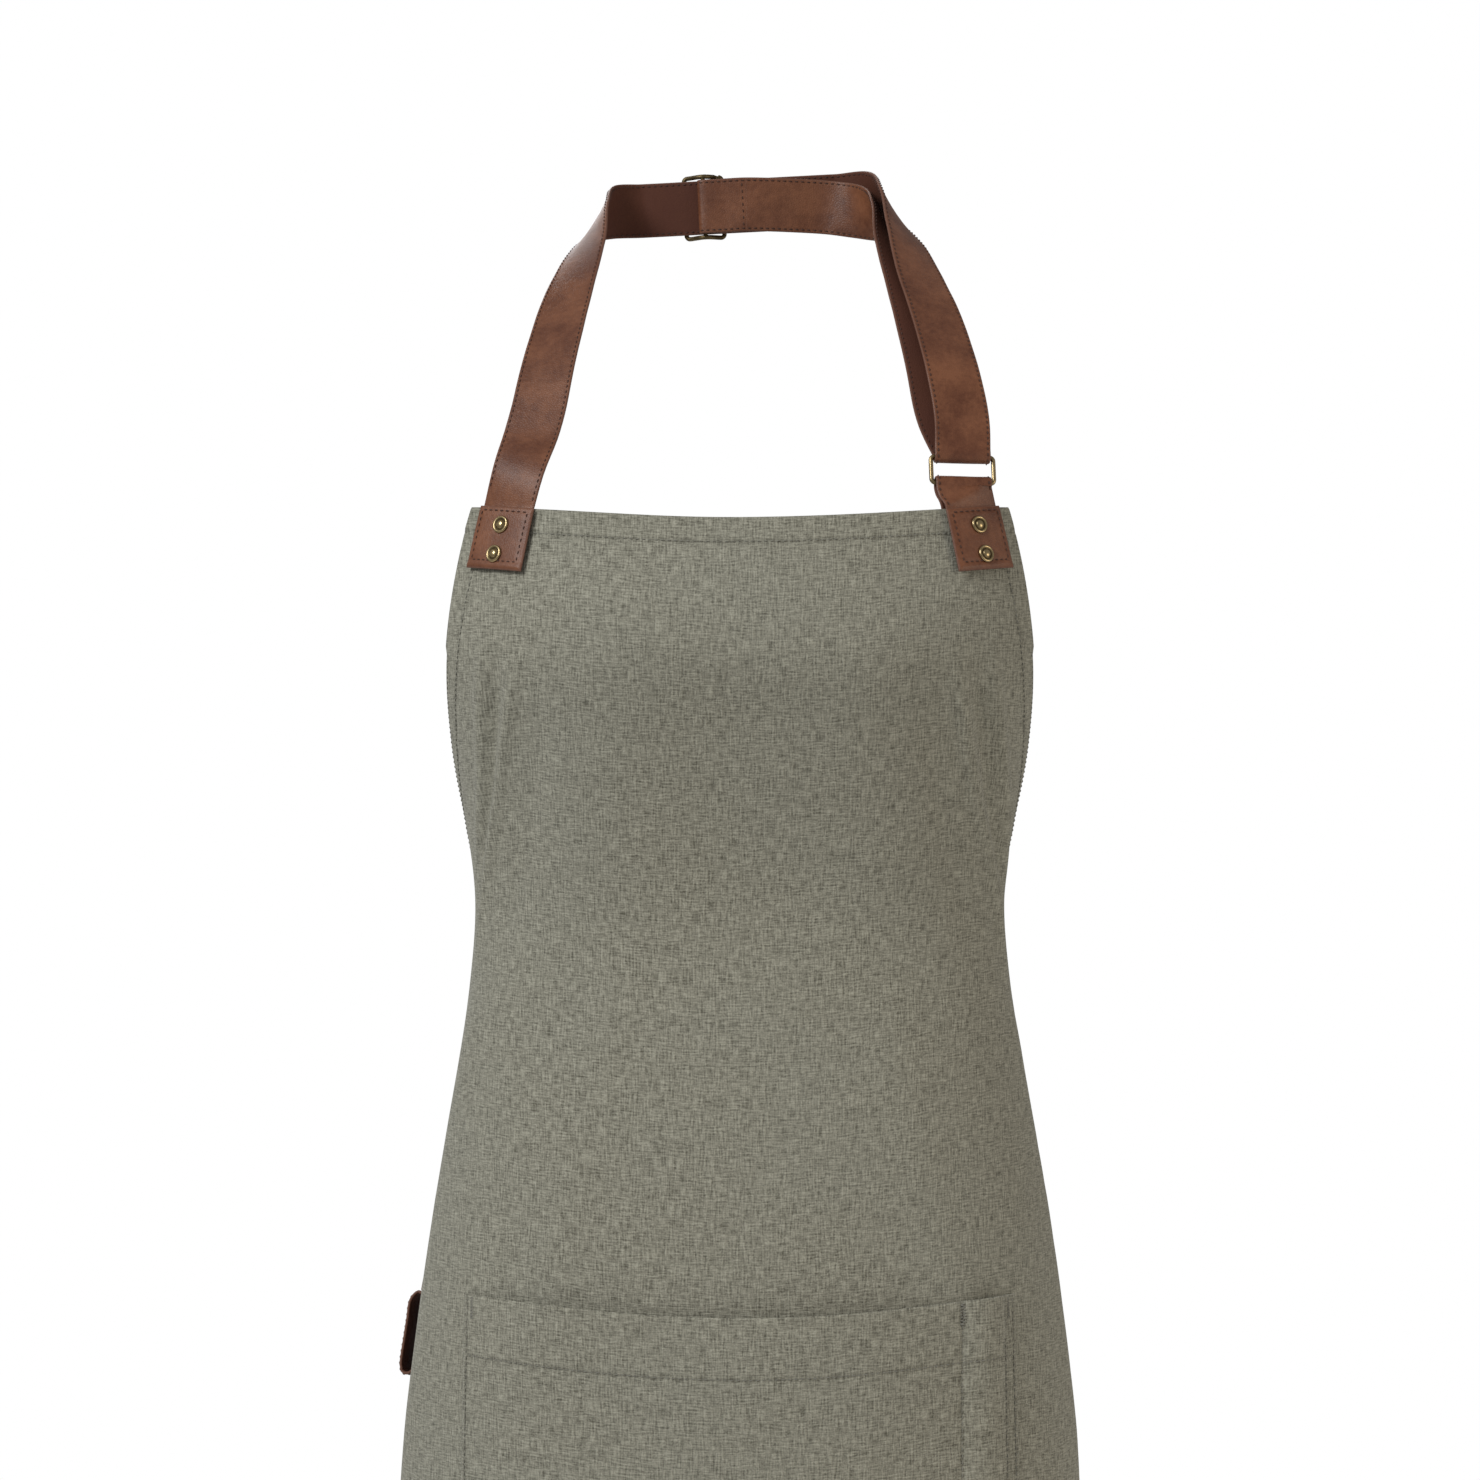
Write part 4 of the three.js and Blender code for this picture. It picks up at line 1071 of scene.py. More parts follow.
def ribbon(route, k0, k1, width=STRAP_WIDTH, rows=None, open_ends=(False, False), starts=None, ends=None):
    """A strip of leather along a route, with its legs on the cloth if it has any."""
    k = np.linspace(k0, k1, rows or int((k1 - k0) * 9) + 2)
    k = np.concatenate([[k0, k0 + END_ROW], k[1:-1], [k1 - END_ROW, k1]])
    across, thick, painted = leather_columns(width)
    middle, normal = strip_surface(route, k, across, starts, ends)
    y = np.linspace(LEG_FOOT, LEG_TOP, 20)
    if starts:
        lain, lain_normal = leg_surface(starts, y[:-1], across)
        middle, normal = np.concatenate([lain, middle]), np.concatenate([lain_normal, normal])
    if ends:
        lain, lain_normal = leg_surface(ends, y[-2::-1], across)
        middle, normal = np.concatenate([middle, lain]), np.concatenate([normal, lain_normal])
    centre = middle[:, len(across) // 2]
    walked = np.concatenate([[0.0], np.cumsum(np.linalg.norm(np.diff(centre, axis=0), axis=1))])
    end = np.ones(len(walked))
    if open_ends[0]:
        end = end * (0.4 + 0.6 * smooth(walked, 0, 0.9))
    if open_ends[1]:
        end = end * (0.4 + 0.6 * smooth(walked[-1] - walked, 0, 0.9))
    half = LEATHER / 2 * thick[None] * end[:, None]
    edge = np.maximum(np.broadcast_to(painted, half.shape), 1 - end[:, None])
    return slab(middle, normal, half, flat_ends=True, edge=edge)


def strap_stitches(route, k0, k1, width=STRAP_WIDTH, sides=(1, -1), starts=None, ends=None):
    """Rows near both edges of a strip, on its grain side (1) and on its flesh side (-1)."""
    k = np.linspace(k0, k1, int((k1 - k0) * 14) + 3)
    lay = np.array([-1.0, 1.0]) * (width / 2 - STITCH_INSET)
    middle, normal = strip_surface(route, k, lay, starts, ends)
    return [
        stitches(
            middle[:, way] + normal[:, way] * side * (LEATHER / 2 - 0.12),
            normal[:, way] * side,
            pitch=3.0,
            length=2.3,
            radius=0.3,
            finish=1,
        )
        for way in (0, 1)
        for side in sides
    ]


# %% Places at the corner patches
PATCH_HEIGHT = 31.0
PATCH_TOP_WIDTH = STRAP_WIDTH + 2.4
PATCH_FOOT_WIDTH = STRAP_WIDTH + 5.6
PATCH_SLOPE = 0.042
PATCH_LEATHER = 1.4
PATCH_TILT = math.radians(15.4)
STRAP_ON_CLOTH = 1.75
PATCH_OFFSET = 3.6
BACKING_OFFSET = -2.55
LEG_TOP = -5.0
LEG_FOOT = 28.0


def on_patch(side, x, y):
    """The place on the cloth for x across a tilted patch and y down it."""
    middle = PATCH_HEIGHT / 2
    arc = side * PATCH_ARC + x * math.cos(PATCH_TILT) + side * (y - middle) * math.sin(PATCH_TILT)
    return arc, middle + (y - middle) * math.cos(PATCH_TILT) - side * x * math.sin(PATCH_TILT)


def on_corner(side, x, y):
    """The place on the cloth for x across a patch whose top and foot are nearly level."""
    lean = side * (y - PATCH_HEIGHT / 2) * math.tan(PATCH_TILT)
    return side * PATCH_ARC + x + lean, y - side * x * PATCH_SLOPE


def backing(side):
    """The small strip behind the cloth that the rivets pull against."""
    y = np.linspace(1.0, LEG_FOOT, 24)
    across, thick, painted = leather_columns(STRAP_WIDTH)
    middle, normal = leg_surface((side, BACKING_OFFSET, 1.0, 0.0), y, across)
    end = 0.4 + 0.6 * smooth(y, 1.0, 1.9) * smooth(LEG_FOOT - y, 0, 0.9)
    edge = np.maximum(np.broadcast_to(painted, middle.shape[:2]), 1 - end[:, None])
    return slab(middle, normal, LEATHER / 2 * thick[None] * end[:, None], edge=edge)


def edge_station(side, offset, outward=1.0):
    arc, down = on_patch(side, np.array([0.0]), LEG_TOP)
    return on_cloth(arc, down, np.array([offset]))[0], cloth_normal(arc, down)[0] * outward


# %% The strap's stations
RISE = [
    ((98, -131, -116.5), (0.18, -0.9, 0.4)),
    ((92.4, -113.5, -87.6), (0.25, -0.83, 0.5)),
    ((85.7, -89, -58), (0.36, -0.72, 0.6)),
    ((77.1, -58, -28), (0.6, -0.45, 0.66)),
    ((71.5, -32, -11), (0.88, -0.1, 0.45)),
]
OUTER_RUN = [
    ((64.5, -7, 3.2), (0.75, 0.62, 0.2)),
    ((75, -31, -4), (0.9, -0.08, 0.42)),
    ((82, -52, -20), (0.68, -0.42, 0.6)),
    ((88.6, -75, -42), (0.45, -0.66, 0.6)),
    ((96.2, -98, -66), (0.32, -0.78, 0.54)),
    ((102.4, -121, -92), (0.25, -0.85, 0.46)),
    ((106.4, -135, -117), (0.2, -0.9, 0.38)),
]
MIRROR = np.array([-1.0, 1.0, 1.0])
WIRE = 1.1
RING_WIDTH = STRAP_WIDTH + 2 * (0.6 + WIRE)
RING_HEIGHT = 12.9
STRAIGHT = 3.0
FOLD_CLEAR = 0.6
RING_WRAP = WIRE + FOLD_CLEAR + LEATHER / 2
TAB_TOP = 13.8
SLIDER_X = -18.2
SLIDER_HALF = 9.6
SLIDER_BAR = 1.1
SLIDER_BAR_Y = -4.15
LOOP_WRAP = 2.25
STITCH_X = 3.0
NAPE_SLOPE = math.radians(3)
NAPE_ALONG = np.array([math.cos(NAPE_SLOPE), 0, math.sin(NAPE_SLOPE)])
NAPE_UP = np.array([-math.sin(NAPE_SLOPE), 0, math.cos(NAPE_SLOPE)])


def on_nape(x, y, up=0.0):
    return NAPE_ALONG * x + NAPE_UP * up + np.array([0, y, 0])


def mirrored(station):
    return np.array(station[0]) * MIRROR, np.array(station[1]) * MIRROR


def turned(station):
    return station[0], -np.asarray(station[1], float)


ring_line = Route([edge_station(1, 0.0), *RISE[:2]])
tries = np.linspace(0, 2, 4001)
reach = np.linalg.norm(ring_line.frame(tries)[0] - ring_line.at[0], axis=1)
found = tries[np.argmax(reach >= TAB_TOP + LEG_TOP)]
lower_bar = ring_line.frame(found)[0][0]
ring_up = unit(np.array([-0.03, 0.22, 0.97]))
ring_face = unit(np.cross([0.98, 0.19, 0.0], ring_up))
ring_across = np.cross(ring_up, ring_face)
upper_bar = lower_bar + ring_up * RING_HEIGHT
ring_low, ring_high = box_mm("rectangular_ring")
print("ring centre", (lower_bar + upper_bar) / 2, "node's", (ring_low + ring_high) / 2)


def round_bar(centre, start, over, way, wrap):
    """Five stations half way round a bar: out = start cos(a) + over way sin(a)."""
    turn = np.radians([0, 45, 90, 135, 180])
    out = np.cos(turn)[:, None] * start + way * np.sin(turn)[:, None] * over
    return [(centre + o * wrap, o) for o in out]


def round_ring_bar(centre, way):
    """The turn round one of the ring's bars, with a short straight run on each side."""
    turn = round_bar(centre, ring_face, ring_up, way, RING_WRAP)
    first, last = ((turn[i][0] - way * STRAIGHT * ring_up, turn[i][1]) for i in (0, -1))
    return [first, *turn, last]


strap = Route(
    [edge_station(-1, STRAP_ON_CLOTH), *map(mirrored, RISE), ((-63.5, -8, -4), (-0.75, 0.62, 0.2))]
    + [(on_nape(50 * k, 0), (0, 1, 0)) for k in (-1, -0.88, -0.44, 0, 0.44, 0.88, 1)]
    + OUTER_RUN
    + round_ring_bar(upper_bar, -1)
    + [turned(s) for s in RISE]
    + [((61.5, -11, -4.5), (-0.75, -0.62, -0.2))]
    + [((47, -3.2, -1.4), (0, -1, 0)), ((26, -4.3, -0.2), (0, -1, 0))]
    + [(on_nape(x, SLIDER_BAR_Y - LOOP_WRAP), (0, -1, 0)) for x in (STITCH_X, (STITCH_X + SLIDER_X) / 2)]
    + round_bar(on_nape(SLIDER_X, SLIDER_BAR_Y), np.array([0, -1.0, 0]), NAPE_ALONG, -1, LOOP_WRAP)
    + [(on_nape(x, SLIDER_BAR_Y + LOOP_WRAP), (0, 1, 0)) for x in ((STITCH_X + SLIDER_X) / 2, STITCH_X)]
)
ON_BIB_LEFT = (-1, STRAP_ON_CLOTH, 1.0, 38.0)
ON_BIB_RIGHT = (1, STRAP_ON_CLOTH, 1.0, 7.0)
BEHIND_BIB_RIGHT = (1, BACKING_OFFSET, -1.0, 7.0)
SHOULDER_OUT = 17
SHOULDER_IN = 30
SEWN = 36
TUCK = 0.02  # of a span: how far one length runs on into the next, so that no line shows

# %% The four lengths of the strap
leathers = [brown_leather, leather_thread]
neck_strap = piece(
    "neck_strap_leather",
    [
        ribbon(strap, 0, SHOULDER_OUT + TUCK, open_ends=(True, False), starts=ON_BIB_LEFT),
        *strap_stitches(strap, 0.05, SHOULDER_OUT, starts=ON_BIB_LEFT),
    ],
    leathers,
    "apron",
    replaces=["neck_strap"],
)
bight = piece(
    "ring_bight_leather",
    [ribbon(strap, SHOULDER_OUT, SHOULDER_IN + TUCK), *strap_stitches(strap, SHOULDER_OUT, SHOULDER_IN)],
    leathers,
    None,
    replaces=["strap_ring_bight"],
)
return_run = piece(
    "return_run_leather",
    [ribbon(strap, SHOULDER_IN, SEWN), *strap_stitches(strap, SHOULDER_IN, SEWN)],
    leathers,
    None,
    replaces=["strap_return_run"],
)


def cross_row(x, y, out):
    """The vertical row that closes the sewn loop at the slider."""
    z = np.linspace(-STRAP_WIDTH / 2 + 2, STRAP_WIDTH / 2 - 2, 30)
    line = np.array([on_nape(x, y, up) for up in z])
    return stitches(line, np.tile([0.0, out, 0.0], (30, 1)), radius=0.26, finish=1)


end_loop = piece(
    "end_loop_leather",
    [
        ribbon(strap, SEWN, strap.last, open_ends=(False, True)),
        *strap_stitches(strap, SEWN, strap.last),
        cross_row(STITCH_X - 1.6, SLIDER_BAR_Y - LOOP_WRAP - LEATHER / 2 + 0.1, -1.0),
        cross_row(STITCH_X - 1.6, SLIDER_BAR_Y + LOOP_WRAP + LEATHER / 2 - 0.1, 1.0),
    ],
    leathers,
    "slider",
    replaces=["strap_end_loop"],
)


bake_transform(bight)
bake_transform(return_run)

# %% The right tab, folded over the ring's lower bar
tab = Route(
    [edge_station(1, STRAP_ON_CLOTH)]
    + round_ring_bar(lower_bar, 1)
    + [edge_station(1, BACKING_OFFSET, -1.0)]
)
right_tab = piece(
    "right_tab_leather",
    [
        ribbon(tab, 0, tab.last, rows=46, open_ends=(True, True), starts=ON_BIB_RIGHT, ends=BEHIND_BIB_RIGHT),
        *strap_stitches(tab, 0, tab.last, sides=(1,), starts=ON_BIB_RIGHT, ends=BEHIND_BIB_RIGHT),
    ],
    leathers,
    "apron",
    replaces=["right_tab"],
)

# %% [markdown]
# ## Patches and rivets
#
# A patch is a thick trapezoid of leather, crowned over the strap under it. Two rivets hold it, and
# each presses a dimple. Its foot is thicker: there the leather is turned under.


# %% Patches
def bulge(x, places, size):
    """A sum of bells, exp(-(distance / size)^2), round some places along a patch's middle."""
    return sum(np.exp(-((x[0] ** 2 + (x[1] - y) ** 2) / size**2)) for y in places)


RIVET_PLACES = (9.2, 24.1)
near_edge = np.array([0, 0.12, 0.35, 0.8, 1.4, 2.0, 2.6, 3.2, 4.0, 5.2]) / (PATCH_TOP_WIDTH / 2) - 1
across = np.concatenate([near_edge, np.linspace(-0.55, 0.55, 17), -near_edge[::-1]])
top_rows = [0, 0.12, 0.35, 0.8, 1.5, 2.1, 2.7, 3.3]
downward = np.concatenate([top_rows, np.linspace(4.2, 25.6, 28), [26.3, 27, 27.7]])
downward = np.concatenate([downward, PATCH_HEIGHT - np.array([2.5, 1.6, 0.8, 0.35, 0.12, 0])])


def patch_shell(side):
    """The trapezoid's grid, from the cloth's places, with its stitch groove and its dimples."""
    u, y = np.meshgrid(across, downward)
    half_wide = (PATCH_TOP_WIDTH + (PATCH_FOOT_WIDTH - PATCH_TOP_WIDTH) * y / PATCH_HEIGHT) / 2
    x = u * half_wide
    rim = np.minimum(half_wide - np.abs(x), np.minimum(y, PATCH_HEIGHT - y))
    seam = np.minimum(half_wide - np.abs(x) - 2.4, np.minimum(y - 2.4, PATCH_HEIGHT - 4.0 - y))
    groove = -0.5 * np.exp(-((seam / 0.7) ** 2))
    dimple = -0.5 * bulge((x, y), RIVET_PLACES, 6.0)
    roll = 0.55 * np.exp(-(((PATCH_HEIGHT - 1.6 - y) / 1.3) ** 2))
    arc, down = on_corner(side, x, y)
    lift = PATCH_OFFSET + dimple * 0.6 + roll * 0.3 - 0.5 * (1 - smooth(rim, 0, 3.5))
    middle = on_cloth(arc, down, lift)
    round_edge = 0.36 + 0.64 * np.sqrt(smooth(rim, -0.05, 1.0))
    half = (PATCH_LEATHER / 2 + roll * 0.4 + groove * 0.5) * round_edge
    return slab(middle, cloth_normal(arc, down), half, edge=1 - smooth(rim, 0.1, 0.9))


def patch_rows(side):
    """Four rows of stitches parallel to the patch's edges."""
    wide = PATCH_TOP_WIDTH / 2 - 2.4
    foot = PATCH_HEIGHT - 4.0
    corner_x = np.array([-wide, wide, wide + 0.7, -wide - 0.7, -wide])
    corner_y = np.array([2.4, 2.4, foot, foot, 2.4])
    rows = []
    for i in range(4):
        t = np.linspace(0, 1, 20)
        x = corner_x[i] + (corner_x[i + 1] - corner_x[i]) * t
        y = corner_y[i] + (corner_y[i + 1] - corner_y[i]) * t
        arc, down = on_corner(side, x, y)
        line = on_cloth(arc, down, np.full(20, PATCH_OFFSET + 0.36))
        rows.append(stitches(line, cloth_normal(arc, down), pitch=3.0, length=2.3, radius=0.3, finish=1))
    return rows


for name, side in (("left", -1), ("right", 1)):
    shells = [patch_shell(side), *patch_rows(side)]
    piece(f"{name}_corner_patch", shells, leathers, "apron", replaces=[f"{name}_patch"])
piece("left_backing_leather", [backing(-1)], leathers, "apron", replaces=["left_backing"])

# %% Rivets
SEAT = 4.35
FLOOR = -3.55
cap_profile = [(0.35, SEAT - 0.4), (4.1, SEAT - 0.4), (4.3, SEAT - 0.1), (4.3, SEAT + 0.35)]
cap_profile += [(4.15, SEAT + 0.75), (3.85, SEAT + 0.98), (3.5, SEAT + 1.02), (3.15, SEAT + 0.9)]
cap_profile += [(2.85, SEAT + 0.62), (2.5, SEAT + 0.5), (2.2, SEAT + 0.6), (2.0, SEAT + 0.9)]
cap_profile += [(1.8, SEAT + 1.15), (1.4, SEAT + 1.38), (0.9, SEAT + 1.52)]
cap_profile += [(0.4, SEAT + 1.58), (0.1, SEAT + 1.6)]
cap_wear = [0.1, 0.3, 0.6, 0.8, 0.9, 0.95, 0.9, 0.7, 0.25, 0.12, 0.3, 0.65, 0.8, 0.9, 0.95, 1.0, 1.0]
BACK = -FLOOR
back_profile = [(0.3, BACK - 0.5), (3.8, BACK - 0.5), (4.0, BACK), (3.95, BACK + 0.5), (3.6, BACK + 1.0)]
back_profile += [(3.0, BACK + 1.4), (1.8, BACK + 1.75), (0.6, BACK + 1.9), (0.1, BACK + 1.9)]


def rivet(side, y, front):
    """A cap in front of the patch or a back behind it, turned round the cloth's normal."""
    arc, down = (np.atleast_1d(v) for v in on_patch(side, 0.0, y))
    centre, normal = cloth_point(arc, down)[0], cloth_normal(arc, down)[0]
    if front:
        return turned_profile(cap_profile, centre, normal, wear=cap_wear)
    return turned_profile(back_profile, centre, -normal, wear=0.55)


for name, side in (("left", -1), ("right", 1)):
    for row, y in zip(("upper", "lower"), RIVET_PLACES):
        for part, front in (("cap", True), ("back", False)):
            node = f"{name}_rivet_{part}_{row}"
            shell = rivet(side, y, front)
            piece(f"{node}_brass", [shell], [antique_brass], "apron", replaces=[node])

# %% [markdown]
# ## Ring and slider
#
# The ring is a round wire bent into a rectangle with round corners. The slider is a bowed frame
# with a centre bar: the strap runs behind the centre bar and in front of the outer ones.


# %% The ring
def rounded_rectangle(width, height, corner, steps=10):
    """Points round a rectangle with round corners, starting at the middle of its right side."""
    x, y = width / 2 - corner, height / 2 - corner
    turn = np.linspace(0, np.pi / 2, steps)
    points = []
    for centre, start in (((x, y), 0), ((-x, y), 1), ((-x, -y), 2), ((x, -y), 3)):
        a = turn + start * np.pi / 2
        points.append(np.stack([centre[0] + corner * np.cos(a), centre[1] + corner * np.sin(a)], -1))
    loop = np.concatenate(points)
    ahead = np.roll(loop, -1, axis=0)
    between = np.array([0.0, 0.34, 0.67])[None, :, None]
    long_side = np.linalg.norm(ahead - loop, axis=1) > corner / 2
    dense = loop[:, None] * (1 - between) + ahead[:, None] * between
    return np.concatenate([dense[i] if long_side[i] else loop[i : i + 1] for i in range(len(loop))])


outline = rounded_rectangle(RING_WIDTH, RING_HEIGHT, 1.9)
ring_middle = (lower_bar + upper_bar) / 2
path = ring_middle + outline[:, :1] * ring_across + outline[:, 1:] * ring_up
ring_wear = 0.4 + 0.35 * np.exp(-(((np.abs(outline[:, 0]) - RING_WIDTH / 2) / 2.0) ** 2))
ring_front = np.cross(ring_across, ring_up)
wire = tube(path, WIRE, closed=True, sides=16, up=ring_front, wear=np.repeat(ring_wear, 16))
piece("ring_brass", [wire], [antique_brass], "ring", replaces=["rectangular_ring"])

# %% The slider
RAIL = 1.15
RAIL_GAP = 0.6
RAIL_UP = STRAP_WIDTH / 2 + RAIL_GAP + RAIL
BAR_GAP = 0.4
OUTER_BAR_Y = LEATHER / 2 + BAR_GAP + SLIDER_BAR
SLIDER_CORNER = 1.8


def slider_bow(x):
    """How far the frame stands behind the strap: the outer bars' place at the ends, the centre
    bar's in the middle, with (1 + cos) / 2 between them."""
    share = (1 + np.cos(np.pi * np.clip(x, -SLIDER_HALF, SLIDER_HALF) / SLIDER_HALF)) / 2
    return OUTER_BAR_Y + (SLIDER_BAR_Y - OUTER_BAR_Y) * share


straight_half = SLIDER_HALF - SLIDER_CORNER
t = np.linspace(-straight_half, straight_half, 14)[1:-1]
rail = np.stack([t, np.full(12, RAIL_UP)], -1)
corner = rounded_rectangle(2 * SLIDER_HALF, 2 * RAIL_UP, SLIDER_CORNER)
keep = np.abs(corner[:, 0]) > straight_half - 0.01
right_up = corner[keep & (corner[:, 0] > 0) & (corner[:, 1] > 0)]
left_up = corner[keep & (corner[:, 0] < 0) & (corner[:, 1] > 0)]
left_down = corner[keep & (corner[:, 0] < 0) & (corner[:, 1] <= 0)]
right_down = corner[keep & (corner[:, 0] > 0) & (corner[:, 1] <= 0)]
frame_outline = np.concatenate([right_up, rail[::-1], left_up, left_down, rail * [1, -1], right_down])
path = np.array([on_nape(SLIDER_X + x, slider_bow(x), up) for x, up in frame_outline])
edge_wear = 0.16 + 0.14 * smooth(np.abs(frame_outline[:, 1]), RAIL_UP - 2, RAIL_UP)
towards_front = np.array([0, -1.0, 0])
rail_wear = np.repeat(edge_wear, 14)
slider_frame = tube(path, RAIL, closed=True, sides=14, up=towards_front, wear=rail_wear)
bar_path = np.array([on_nape(SLIDER_X, SLIDER_BAR_Y, up) for up in np.linspace(-RAIL_UP, RAIL_UP, 12)])
bar = tube(bar_path, SLIDER_BAR, sides=14, up=towards_front, wear=0.15)
shells = [slider_frame, bar]
piece("slider_brass", shells, [antique_brass], "slider", replaces=["strap_slider"])

# %% [markdown]
# ## The towel loop
#
# A short strip of leather, folded double and sewn to the skirt's left side. Its sewn top stays on
# the cloth; the loop below it is a second object, because it swings out.

# %% The sewn top of the towel loop
LOOP_ARC = -250.0
LOOP_TOP = 381.0
LOOP_WIDTH = 25.0
LOOP_SEWN = 10.0
LOOP_LENGTH = 41.0
LOOP_GAP = 4.8
SKIN = CLOTH / 2 + 0.4


def sewn_layer(offset):
    y = np.linspace(0, LOOP_SEWN, 14)
    across, thick, painted = leather_columns(LOOP_WIDTH)
    arc, down = np.meshgrid(LOOP_ARC + across, LOOP_TOP + y)
    end = 0.4 + 0.6 * smooth(y, 0, 0.9) * smooth(LOOP_SEWN - y, 0, 0.9)
    half = LEATHER / 2 * thick[None] * end[:, None]
    edge = np.maximum(np.broadcast_to(painted, half.shape), 1 - end[:, None])
    return slab(on_cloth(arc, down, np.full(arc.shape, offset)), cloth_normal(arc, down), half, edge=edge)


def loop_row(down):
    arc = np.linspace(LOOP_ARC - LOOP_WIDTH / 2 + 2, LOOP_ARC + LOOP_WIDTH / 2 - 2, 20)
    down = np.full(20, down)
    line = on_cloth(arc, down, np.full(20, SKIN + 2 * LEATHER + 0.3))
    return stitches(line, cloth_normal(arc, down), radius=0.26, finish=1)


layers = [sewn_layer(SKIN + LEATHER / 2), sewn_layer(SKIN + 1.5 * LEATHER + 0.4)]
rows = [loop_row(LOOP_TOP + 2.2), loop_row(LOOP_TOP + 7.8)]
piece("towel_loop_top", [*layers, *rows], leathers, "apron", replaces=["towel_loop_root"])


# %% The hanging loop
def loop_station(down, offset, out, below):
    """A station beside the cloth: its facing is a mix of outward and downward."""
    arc, down = np.array([LOOP_ARC]), np.array([float(down)])
    normal = cloth_normal(arc, down)[0]
    fall = unit(on_cloth(arc, down + 1.0, np.zeros(1))[0] - on_cloth(arc, down, np.zeros(1))[0])
    return on_cloth(arc, down, np.array([offset]))[0], normal * out + fall * below


start = LOOP_TOP + LOOP_SEWN + 2.2
reach = (LOOP_GAP + LEATHER) / 2
middle = SKIN + reach + LEATHER / 2
foot = start + LOOP_LENGTH - reach - LEATHER / 2
loop_route = Route(
    [
        loop_station(start + LEATHER, SKIN + LEATHER * 0.9, 0.5, -0.85),
        loop_station(start + LEATHER * 0.55, middle, 0.7, -0.7),
        loop_station(start + 5, middle + reach, 1, -0.15),
        loop_station(start + 14, middle + reach, 1, 0),
        loop_station(foot, middle + reach, 1, 0),
        loop_station(foot + reach * 0.71, middle + reach * 0.71, 0.71, 0.71),
        loop_station(foot + reach, middle, 0, 1),
        loop_station(foot + reach * 0.71, middle - reach * 0.71, -0.71, 0.71),
        loop_station(foot, middle - reach, -1, 0),
        loop_station(start + 14, middle - reach, -1, 0),
        loop_station(start + 4.6, middle - reach, -1, 0),
    ]
)
towel_loop = piece(
    "towel_loop_leather",
    [
        ribbon(loop_route, 0, loop_route.last, width=LOOP_WIDTH, open_ends=(True, True)),
        *strap_stitches(loop_route, 1.6, loop_route.last - 0.3, width=LOOP_WIDTH, sides=(1,)),
    ],
    leathers,
    "towel_loop",
    replaces=["towel_loop"],
)

# %% [markdown]
# ## Ties, knot and bow
#
# The ties are long tapes of the same cloth. Each is sewn in behind the panel's edge with a crossed
# box of stitches, runs round the waist and narrows into the knot behind the back. Past the knot it
# is laid in a loop and hangs down as a tail. A tape is a slab that follows a line.

# %% A tape along a line
TIE_WIDTH = 36.0
TIE_HALF = 0.55
TIE_DROP = 15.0
TIE_LAP = 28.0
TIE_OFFSET = -3.0


def tape(at, over, face, wide, uv_start=0.0, ripple=0.0):
    """A flat tape of folded cloth: a middle line, a direction over its width, the way it faces and
    its width at each row. When it narrows, its cloth gathers into pleats: ripple * sin(4.5 pi s)."""
    near_edge = np.array([-1, -0.985, -0.95, -0.9, -0.84, -0.76])
    share = np.concatenate([near_edge, np.linspace(-0.66, 0.66, 21), -near_edge[::-1]])
    walked = uv_start + np.concatenate([[0.0], np.cumsum(np.linalg.norm(np.diff(at, axis=0), axis=1))])
    wide = np.broadcast_to(wide, len(at)).astype(float)
    gathered = np.clip(1 - wide / TIE_WIDTH, 0, 1)
    pleat = np.broadcast_to(ripple, len(at))[:, None] * gathered[:, None] * np.sin(4.5 * np.pi * share)[None]
    soft = 0.35 * np.sin(walked / 13.0)[:, None] * (0.4 + share[None] ** 2)
    out_to = share * wide[:, None] / 2
    middle = at[:, None] + over[:, None] * out_to[..., None] + face[:, None] * (pleat + soft)[..., None]
    rim = (1 - np.abs(share)) * TIE_WIDTH / 2
    seam = np.exp(-(((rim - 2.2) / 0.8) ** 2))
    half = TIE_HALF * (0.35 + 0.65 * smooth(rim, 0, 0.8)) - 0.12 * seam
    ends = 0.3 + 0.7 * smooth(walked - uv_start, 0, 0.8) * smooth(walked[-1] - walked, 0, 0.8)
    normal = grid_normals(middle)
    cloth_x = np.broadcast_to(share * TIE_WIDTH / 2, middle.shape[:2])
    uv = np.stack([cloth_x, np.repeat(walked[:, None], len(share), 1)], -1)
    # Painted shade along both stitch lines, carried by the fact named seam.
    painted_seam_shade = np.broadcast_to(0.8 * seam, middle.shape[:2])
    return slab(middle, normal, half[None] * ends[:, None], uv=uv, seam=painted_seam_shade)


def tape_rows(at, over, face, wide, side):
    """The row of stitches inside each edge of a tape."""
    lay = (np.broadcast_to(wide, len(at)) / 2 - 2.2)[:, None]
    proud = face * side * 0.42
    return [stitches(at + over * way * lay + proud, face * side, radius=0.22, finish=1) for way in (-1, 1)]


tapes = [chambray, cloth_thread]
knot_low, knot_high = box_mm("bow_knot")
knot_at = (knot_low + knot_high) / 2
KNOT_WIDTH, KNOT_DEPTH, KNOT_HEIGHT = knot_high - knot_low
print("knot at", knot_at)


